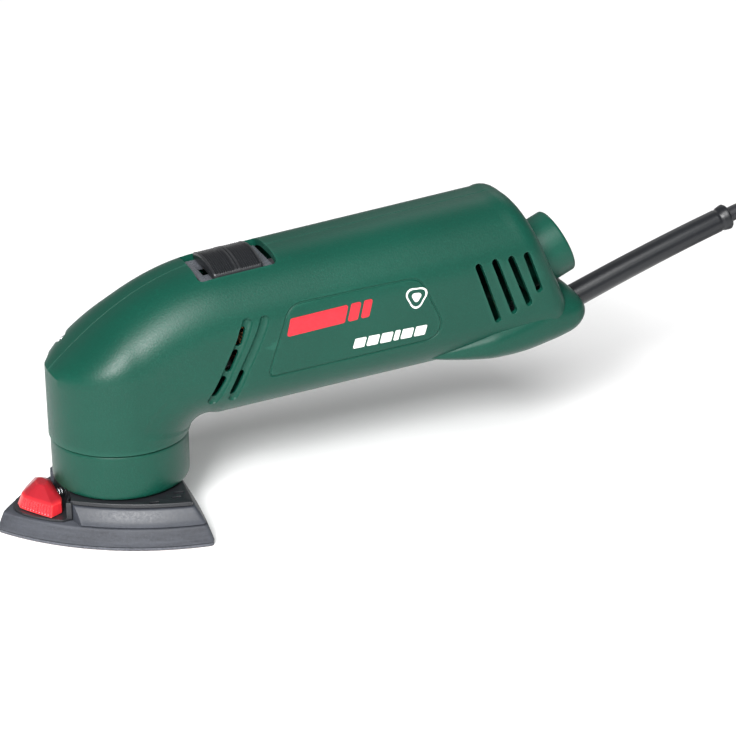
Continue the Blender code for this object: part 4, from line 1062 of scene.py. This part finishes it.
rings = []
xs = sorted(set(list(np.round(np.arange(-11.2, 11.21, 0.11), 3)) + [-11.2, 11.2]))
for x in xs:
    h = rib_height(x)
    endf = max(0.0, (abs(x) - 10.6) / 0.6)
    pull = 0.6 * (1 - math.sqrt(max(0.0, 1 - endf**2)))
    tuck = 1.7 * (1 - math.sqrt(max(0.0, 1 - (max(0.0, abs(x) - 9.5) / 1.7) ** 2)))
    ring = []
    for k in range(N_Y + 1):
        y = -14.6 + 29.2 * k / N_Y
        side = max(0.0, (abs(y) - 13.6) / 1.0)
        z = arch(y) + h * min(1.0, max(0.0, (14.2 - abs(y)) / 0.6)) - 0.9 * (1 - math.sqrt(max(0.0, 1 - side**2))) - pull
        ring.append((y * (14.6 - tuck) / 14.6, z, x))
    ring += [(14.6 - tuck, -4.0 + pull * 0.5, x), (tuck - 14.6, -4.0 + pull * 0.5, x)]
    rings.append([(y, z, xx) for y, z, xx in ring])
slider = loft("slider_cap", rings, smooth=45)
stem = prism("slider_stem_fine", rounded([(-4.5, -7.5), (4.5, -7.5), (4.5, -3.0), (-4.5, -3.0)], [0.6, 0.6, 0, 0], 3), -5.0, 5.0)
carve(slider, [(stem, "UNION")], smooth=40)
bake(slider, ACROSS)
slider.data.materials.clear()
slider.data.materials.append(BLACK)
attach(slider, "switch")
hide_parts("switch_slider")

# ------------------------------------------------------------------ cord guard
guard_pts = [GUARD_START + guard_dir * t for t in (8.0, 16.0, 26.0)] + [np.array(q) for q in ((238.1, 0, 76.4), (258.4, 0, 83.8), (276.0, 0, 89.9), (292.7, 0, 95.4))]
route = smooth_route(guard_pts, 12)
tip = route[-1]
tip_dir = (route[-1] - route[-2]) / np.linalg.norm(route[-1] - route[-2])
fine = smooth_route(guard_pts, 150)
s = np.concatenate([[0], np.cumsum(np.linalg.norm(np.diff(fine, axis=0), axis=1))])
left = s[-1] - s
rad = np.full(len(s), 5.6) - 0.25 * (s / s[-1])
rad = np.where(left < 7.0, rad + 0.75 * np.clip((7.0 - left) / 5.5, 0, 1) ** 2, rad)
rad = np.where((left >= 4.4) & (left < 5.4), rad - 0.35, rad)
rad = np.where(left < 0.8, rad - 0.5 * (1 - left / 0.8) ** 2, rad)
frames = frames_along(fine)
rings = []
SEG = 48
for (p, t, u, v), r in zip(frames, rad):
    rings.append([p + (u * math.cos(2 * math.pi * k / SEG) + v * math.sin(2 * math.pi * k / SEG)) * r for k in range(SEG)])
p, t, u, v = frames[-1]
for r, back in ((4.7, 0.0), (4.1, 0.25), (3.9, 0.0), (3.8, -0.6), (3.6, -0.9), (1.5, -0.9)):
    rings.append([p + t * back + (u * math.cos(2 * math.pi * k / SEG) + v * math.sin(2 * math.pi * k / SEG)) * r for k in range(SEG)])
guard = loft("guard_sleeve", rings, smooth=35)
guard.data.materials.append(GUARD_MAT)
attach(guard, "housing")
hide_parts("cord_guard")


# ------------------------------------------------------------------ pad stack
def delta(inset=0.0, n=60, corner=2.4, round_steps=6):
    corners = [np.array(p) for p in PLATE_CORNERS]
    sides = []
    for i in range(3):
        a, b = corners[i], corners[(i + 1) % 3]
        chord = np.linalg.norm(b - a)
        sag = PLATE_SAGS[i]
        r = (chord / 2) ** 2 / (2 * sag) + sag / 2
        d = (b - a) / chord
        c = (a + b) / 2 - np.array([d[1], -d[0]]) * (r - sag)
        a0, a1 = math.atan2(*(a - c)[::-1]), math.atan2(*(b - c)[::-1])
        sides.append((c, r, a0, a1 if a1 > a0 else a1 + 2 * math.pi))
    halves_, bis_ = [], []
    for i in range(3):
        before, after = sides[i - 1], sides[i]
        t1 = np.array([-math.sin(before[3]), math.cos(before[3])])
        t2 = np.array([-math.sin(after[2]), math.cos(after[2])])
        b = (t2 - t1) / np.linalg.norm(t2 - t1)
        bis_.append(b)
        halves_.append(math.acos(float(b @ t2)))
    pts = []
    runs = []
    for i, (c, r, a0, a1) in enumerate(sides):
        j = (i + 1) % 3
        lo = a0 + (corner + inset / math.tan(halves_[i])) / r
        hi = a1 - (corner + inset / math.tan(halves_[j])) / r
        runs.append([c + (r - inset) * np.array([math.cos(t), math.sin(t)]) for t in np.linspace(lo, hi, n)])
    for i in range(3):
        j = (i + 1) % 3
        pts += runs[i]
        p0, p2 = runs[i][-1], runs[j][0]
        ctrl = PLATE_CORNERS[j] + bis_[j] * (inset / math.sin(halves_[j]))
        for k in range(1, round_steps):
            t = k / round_steps
            pts.append((1 - t) ** 2 * p0 + 2 * t * (1 - t) * ctrl + t**2 * p2)
    return [tuple(p) for p in pts]


def stack(levels):
    return [[(x, y, z) for x, y in delta(i)] for i, z in levels]


sheet = loft("sanding_sheet", stack([(0.55, 0.0), (0.42, 0.12), (0.4, 0.35), (0.4, 1.0), (0.5, 1.2)]), smooth=40)
sheet.data.materials.append(ABRASIVE)
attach(sheet, "pad")
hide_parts("abrasive_sheet")

pad = loft("pad_foam", stack([(0.8, 1.5), (0.42, 1.62), (0.3, 1.9), (0.3, 2.3), (0.8, 3.8), (1.45, 5.7), (2.1, 7.6), (2.4, 8.35), (2.62, 8.65), (3.0, 8.8)]), smooth=40)
pad.data.materials.append(PAD)
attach(pad, "pad")
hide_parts("sanding_pad")

shoe = loft("pad_shoe_fine", stack([(3.4, 9.1), (3.16, 9.25), (3.12, 9.6), (4.1, 11.6), (5.3, 13.7), (6.45, 15.3), (6.75, 15.7), (7.05, 15.9), (7.5, 16.0)]), smooth=40)
cut = prism("shoe_cut", [(-70, -40), (-21.6, -40), (-27.5, -16), (-22.5, -9), (-22.5, 9), (-27.5, 16), (-21.6, 40), (-70, 40)], 5, 20)
carve(shoe, [(cut, "DIFFERENCE")], smooth=35)
shoe.data.materials.clear()
shoe.data.materials.append(SHOE)
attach(shoe, "pad")
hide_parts("pad_shoe")

cover = loft("carrier_top", stack([(7.75, 16.3), (7.6, 16.45), (7.6, 17.7), (7.75, 17.95), (8.1, 18.1)]), smooth=40)
clip = prism("clip", [(-60, -30), (-30.4, -30), (-26.2, -14), (-25.3, -9), (-25.3, 9), (-26.2, 14), (-30.4, 30), (-60, 30)], 10, 25)
hub = turned("hub", rounded([(0, 30.0), (14.6, 30.0), (14.6, 17.0), (0, 17.0)], [0, 0.8, 0, 0], 4), Matrix.Translation((ECC * MM, 0, 0)), 96)
arm = prism("arm", [(-29.6, -18.6), (-27.4, -19.4), (-27.9, -15.8), (-23.0, -9.2), (-23.0, 9.2), (-27.9, 15.8), (-27.4, 19.4), (-29.6, 18.6), (-25.4, 9.0), (-25.4, -9.0)], 9.6, 17.2)
tongue = prism("tongue", [(-47.6, -2.0), (-45.2, -7.0), (-40.6, -12.2), (-36.0, -16.4), (-31.4, -19.2), (-28.4, -18.5), (-28.4, -15.8), (-23.4, -9.2), (-23.4, 9.2), (-28.4, 15.8), (-28.4, 18.5), (-31.4, 19.2), (-36.0, 16.4), (-40.6, 12.2), (-45.2, 7.0), (-47.6, 2.0)], 9.1, 10.1)
steps = [(clip, "DIFFERENCE"), (hub, "UNION"), (arm, "UNION"), (block("arm_trim", (-31.0, 12.5, 10.6), (-24.0, 21.0, 18.6)), "DIFFERENCE"), (tongue, "UNION"),
         (turned("bore", [(0, 40.0), (11.3, 40.0), (11.3, 21.0), (0, 21.0)], Matrix.Translation((ECC * MM, 0, 0)), 96), "DIFFERENCE"),
         (turned("bore2", [(0, 40.0), (8.0, 40.0), (8.0, 19.6), (0, 19.6)], Matrix.Translation((ECC * MM, 0, 0)), 72), "DIFFERENCE"),
         (rod("spring_way", (-32, 0, 13.8), (-20, 0, 13.8), 2.2, 32), "DIFFERENCE")]
for k, (x, y) in enumerate(((14.5, -32.0), (17.0, -28.0), (4.5, -33.2), (14.5, 32.0), (17.0, 28.0), (4.5, 33.2))):
    steps.append((prism(f"pocket_{k}", rounded([(x - 2.2, y - 0.8), (x + 2.2, y - 1.3), (x + 2.2, y + 0.5), (x - 2.2, y + 1.0)], [0.6] * 4, 3), 17.0, 19.0), "DIFFERENCE"))
carve(cover, steps, smooth=35)
cover.data.materials.clear()
cover.data.materials.append(BLACK)
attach(cover, "pad")
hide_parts("pad_carrier")


# ------------------------------------------------------------------ release catch with grip ribs
def catch_outline(tip_x, back, half, chamfer, rib=0.0, n=90):
    side = []
    for k in range(n + 1):
        t = k / n
        x = tip_x + (half[0] - tip_x) * t
        y = 2.0 + (half[1] - 2.0) * (t**0.86)
        side.append(np.array([x, -y]))
    side = np.array(side)
    tang = np.gradient(side, axis=0)
    tang /= np.linalg.norm(tang, axis=1)[:, None]
    nrm = np.stack([tang[:, 1], -tang[:, 0]], 1)
    nrm *= np.sign((nrm * np.array([-0.7, -0.7])).sum(1))[:, None]
    s = np.concatenate([[0], np.cumsum(np.linalg.norm(np.diff(side, axis=0), axis=1))])
    f = s / s[-1]
    wave = np.abs(np.sin(math.pi * f * 11))
    fade = np.clip(np.minimum(f, 1 - f) / 0.05, 0, 1)
    side = side + nrm * (rib * (wave**0.7 - 1.0) * fade)[:, None]
    loop = [tuple(q) for q in side]
    for k in range(1, 9):
        t = k / 8
        loop.append((half[0] + (chamfer[0] - half[0]) * t, -(half[1] + (chamfer[1] - half[1]) * t)))
    loop.append((back, -chamfer[1] + 3.0))
    return loop + [(x, -y) for x, y in loop[::-1]]


def mixed(a, b, f):
    return a + (b - a) * f


levels = []
L0 = ((-45.6, -29.0, (-35.6, 16.4), (-30.3, 13.4)), 10.4)
L1 = ((-43.6, -29.0, (-34.7, 14.8), (-30.1, 12.6)), 15.0)
L2 = ((-42.8, -29.2, (-34.7, 13.8), (-30.3, 11.8)), 15.6)
L3 = ((-37.2, -32.6, (-35.4, 4.2), (-34.2, 3.8)), 20.2)


def blend_level(A, B, f, rib=0.0, shrink=0.0):
    a, b = A[0], B[0]
    tip_x = mixed(a[0], b[0], f) + shrink
    back = mixed(a[1], b[1], f) - shrink * 0.3
    half = (mixed(a[2][0], b[2][0], f), mixed(a[2][1], b[2][1], f) - shrink)
    ch = (mixed(a[3][0], b[3][0], f), mixed(a[3][1], b[3][1], f) - shrink)
    return [(x, y, mixed(A[1], B[1], f)) for x, y in catch_outline(tip_x, back, half, ch, rib)]


rows = [blend_level(L0, L1, 0.0, 0.0, 0.25), blend_level(L0, L1, 0.05, 0.0), blend_level(L0, L1, 0.10, 0.05), blend_level(L0, L1, 0.16, 0.75)]
rows += [blend_level(L0, L1, f, 0.75) for f in (0.3, 0.45, 0.6, 0.75, 0.86)]
rows += [blend_level(L0, L1, 0.93, 0.12), blend_level(L0, L1, 1.0, 0.0)]
rows += [blend_level(L1, L2, 0.5, 0.0), blend_level(L1, L2, 1.0, 0.0)]
rows += [blend_level(L2, L3, f) for f in (0.15, 0.3, 0.45, 0.6, 0.75, 0.88, 0.95)]
rows += [blend_level(L2, L3, 0.99, 0.0, 0.35), [(x, y, 20.2) for x, y, z in blend_level(L2, L3, 1.0, 0.0, 0.9)]]
catch = loft("catch_button", rows, smooth=38)
carve(catch, [(rod("pocket", (-34.4, 0, 13.8), (-25.0, 0, 13.8), 2.2, 32), "DIFFERENCE")], smooth=38)
catch.data.materials.clear()
catch.data.materials.append(RED)
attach(catch, "catch")
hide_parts("release_catch")

# ------------------------------------------------------------------ mains lead
lead = [tip + tip_dir * 0.7, tip + tip_dir * 9.0, (316.0, -3.5, 98.5), (327.0, -10.5, 92.5), (336.0, -18.5, 82.5), (343.5, -27.0, 69.0),
        (350.0, -34.5, 54.0), (357.5, -40.5, 40.0), (366.2, -43.2, 29.2)]
LEAD = smooth_route(lead, 120)
R0, R1, R2 = 34.95, 42.0, 49.05
Z0_, Z1_, Z2_ = 3.55, 10.6, 17.65
START = math.radians(-70.0)
WIN = {"e": (100, 150), "d": (150, 200), "c": (205, 250), "b": (255, 300), "a": (305, 350)}
ORDER = [(R0, Z2_, "a"), (R1, Z2_, "a"), (R2, Z2_, "b"), (R2, Z1_, "c"), (R1, Z1_, "c"), (R0, Z1_, "d"), (R0, Z0_, "e"), (R1, Z0_, "e"), (R2, Z0_, None)]
coil = []
for k, (r, z, w) in enumerate(ORDER):
    last = 360.0 if k < 8 else 62.0
    for deg in np.arange(0.0, last, 3.0):
        rr, zz = r, z
        if w:
            lo, hi = WIN[w]
            f = min(1.0, max(0.0, (deg - lo) / (hi - lo)))
            f = f * f * (3 - 2 * f)
            rr, zz = mixed(r, ORDER[k + 1][0], f), mixed(z, ORDER[k + 1][1], f)
        a = START + math.radians(deg)
        coil.append((COIL_C[0] + rr * math.cos(a), COIL_C[1] + rr * math.sin(a), zz))
coil = np.array(coil)
join = []
for deg, r, z in ((-20.0, 40.4, 25.3), (-11.0, 37.4, 22.6), (-3.0, 35.5, 20.0), (5.0, 34.95, 18.4)):
    a = START + math.radians(deg)
    join.append((COIL_C[0] + r * math.cos(a), COIL_C[1] + r * math.sin(a), z))
TAIL_X = COIL_C[0] + COIL_MEAN + COIL_HALF - CORD_D / 2
tail_pts = [(TAIL_X, y, CORD_D / 2 + 0.1) for y in (4.0, 10.0, 18.0, 26.0, 33.7)]
full = np.vstack([LEAD, join, coil[5:], tail_pts])
dense = resample(full, 6000)
k = np.hanning(61)
k /= k.sum()
soft = dense.copy()
for c in range(3):
    padded_ = np.concatenate([2 * dense[0, c] - dense[30:0:-1, c], dense[:, c], 2 * dense[-1, c] - dense[-2:-32:-1, c]])
    soft[:, c] = np.convolve(padded_, k, "valid")
soft[0], soft[-1] = dense[0], dense[-1]
seg_len = np.linalg.norm(np.diff(soft, axis=0), axis=1)
acc = np.concatenate([[0], np.cumsum(seg_len)])
lead_len = 110.0
n_lead, n_coil = 30, 9 * 20
w = np.concatenate([np.linspace(0, 120.0, 30, endpoint=False), np.linspace(120.0, acc[-1] - 40.0, 190, endpoint=False), np.linspace(acc[-1] - 40.0, acc[-1], 8)])
line = np.stack([np.interp(w, acc, soft[:, c]) for c in range(3)], 1)
line[:, 2] = np.maximum(line[:, 2], CORD_D / 2 + 0.02)
cu = bpy.data.curves.new("mains_lead", "CURVE")
cu.dimensions = "3D"
cu.bevel_depth = CORD_D / 2 * MM
cu.bevel_resolution = 6
cu.use_fill_caps = True
cu.resolution_u = 5
sp = cu.splines.new("BEZIER")
sp.bezier_points.add(len(line) - 1)
for bp_, q in zip(sp.bezier_points, line):
    bp_.co = tuple(q * MM)
    bp_.handle_left_type = bp_.handle_right_type = "AUTO"
cord_ob = bpy.data.objects.new("mains_lead", cu)
scene.collection.objects.link(cord_ob)
cu.materials.append(RUBBER)
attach(cord_ob, "housing")
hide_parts("supply_cord", "cord_coil", "cord_tail")

# tie round the coil
TIE = COIL_HALF + 0.6
path = [(COIL_MEAN - TIE - 0.5, 0.15), (COIL_MEAN - TIE - 0.5, COIL_H + 1.05), (COIL_MEAN + TIE + 0.5, COIL_H + 1.05), (COIL_MEAN + TIE + 0.5, 0.15)]
mid = rounded(path, [0, 4.0, 4.0, 0], 10)
mid = resample(np.array(mid), 70)
rings = []
tg = np.gradient(mid, axis=0)
tg /= np.linalg.norm(tg, axis=1)[:, None]
nm = np.stack([tg[:, 1], -tg[:, 0]], 1)
for i, (q, nn) in enumerate(zip(mid, nm)):
    rings.append([(q[0] + nn[0] * a, b, q[1] + nn[1] * a) for a, b in rounded([(-0.45, -3.9), (0.45, -3.9), (0.45, 3.9), (-0.45, 3.9)], [0.3] * 4, 3)])
tie = loft("lead_tie", rings, smooth=40)
bake(tie, Matrix.Translation((COIL_C[0] * MM, COIL_C[1] * MM, 0)) @ Matrix.Rotation(math.radians(80), 4, "Z"))
_m = Mat("strap_look", 0.8)
_wv = _m.noise(1400.0, 3.0, 0.5, stretch=(1, 1, 1))
_ck = _m.n("ShaderNodeTexChecker")
_ck.inputs["Scale"].default_value = 1400.0
_m.l(_m.coords(), _ck.inputs["Vector"])
_m.colour(_m.mix(_m.span(_wv, 0.0, 1.0), (0.008, 0.008, 0.009), (0.024, 0.024, 0.027)))
_m.bump(_ck.outputs["Fac"], 0.0001, 0.6)
STRAP = _m.done()
tie.data.materials.append(STRAP)
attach(tie, "housing")
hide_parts("cord_tie")

# plug body
rings = []
outline = [(0.0, 5.5), (8.0, 7.5), (20.0, 16.5), (34.0, 17.2), (36.0, 15.0)]
PY0 = 34.3
for i in range(61):
    y = 36.0 * i / 60
    hw = float(np.interp(y, [a for a, b in outline], [b for a, b in outline]))
    hw = hw if y > 20 or y < 8 else 7.5 + 9.0 * (0.5 - 0.5 * math.cos(math.pi * (y - 8) / 12))
    grip = 0.0
    if 21.5 < y < 32.0:
        grip = -0.35 * (0.5 + 0.5 * math.cos(2 * math.pi * (y - 21.5) / 2.1))
    if y < 8.0:
        grip = -0.55 * (0.5 + 0.5 * math.cos(2 * math.pi * y / 2.0 + math.pi))
    hz = 6.7 if y > 9 else mixed(5.0, 6.7, y / 9.0)
    e1 = min(1.0, i / 3.0) if i < 3 else 1.0
    e2 = 1.0 - max(0.0, (y - 34.5) / 1.5) ** 2 * 0.13
    k_ = e2 * (0.93 + 0.07 * e1)
    ring = []
    for j in range(72):
        a = 2 * math.pi * j / 72
        ca, sa = math.cos(a), math.sin(a)
        ex = 2 / 3.4
        ring.append((TAIL_X + (hw + grip) * k_ * math.copysign(abs(ca) ** ex, ca), PY0 + y, 6.9 + hz * k_ * math.copysign(abs(sa) ** ex, sa)))
    rings.append(ring)
plug = loft("plug_shell", rings, smooth=42)
plug.data.materials.append(BLACK_SOFT)
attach(plug, "housing")
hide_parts("plug_body")

# ------------------------------------------------------------------ floor, light, camera
me = bpy.data.meshes.new("floor")
S = 6.0
me.from_pydata([(-S, -S, 0), (S, -S, 0), (S, S, 0), (-S, S, 0)], [], [(0, 1, 2, 3)])
floor = link("floor", me)
_m = Mat("floor_look", 0.9)
_n = _m.noise(3.0, 2.0)
_m.colour(_m.mix(_m.span(_n, 0.0, 1.0), (0.90, 0.90, 0.90), (0.93, 0.93, 0.93)))
floor.data.materials.append(_m.done())
floor.location.z = -0.0002

world = bpy.data.worlds.new("studio")
scene.world = world
world.use_nodes = True
bg = world.node_tree.nodes["Background"]
bg.inputs["Color"].default_value = (1.0, 1.0, 1.0, 1.0)
bg.inputs["Strength"].default_value = 0.26


def area(name, loc, aim, size, power, colour=(1, 1, 1), size_y=None):
    data = bpy.data.lights.new(name, "AREA")
    data.energy = power
    data.color = colour
    data.size = size
    if size_y:
        data.shape = "RECTANGLE"
        data.size_y = size_y
    ob = bpy.data.objects.new(name, data)
    scene.collection.objects.link(ob)
    ob.location = loc
    ob.rotation_mode = "QUATERNION"
    ob.rotation_quaternion = (Vector(aim) - Vector(loc)).to_track_quat("-Z", "Y")
    return ob


sun = bpy.data.lights.new("sky_panel", "SUN")
sun.energy = 2.9
sun.angle = math.radians(38)
sun_ob = bpy.data.objects.new("sky_panel", sun)
scene.collection.objects.link(sun_ob)
sun_ob.rotation_mode = "QUATERNION"
sun_ob.rotation_quaternion = Vector((0.36, 0.66, -0.85)).to_track_quat("-Z", "Y")
area("key", (-0.42, -0.66, 0.58), (0.05, 0.0, 0.06), 0.26, 10.5)
area("strip", (0.10, -0.95, 0.62), (0.12, 0.0, 0.07), 0.9, 1.6, (1, 1, 1), 0.16)
area("rim", (0.55, 0.70, 0.75), (0.15, 0.0, 0.08), 0.5, 0.8)

az, el, dist = math.radians(-22.009), math.radians(23.541), 0.9723
target = Vector((0.114127, 0.0, 0.048045))
back_ = Vector((math.sin(az) * math.cos(el), -math.cos(az) * math.cos(el), math.sin(el)))
cam_data = bpy.data.cameras.new("camera")
cam_data.sensor_width = 36.0
cam_data.lens = 2200.0 / 736.0 * 36.0
cam_data.clip_start, cam_data.clip_end = 0.05, 50.0
cam = bpy.data.objects.new("camera", cam_data)
scene.collection.objects.link(cam)
cam.location = target + back_ * dist
cam.rotation_mode = "QUATERNION"
cam.rotation_quaternion = (-back_).to_track_quat("-Z", "Y")
scene.camera = cam
scene.view_settings.view_transform = "Standard"
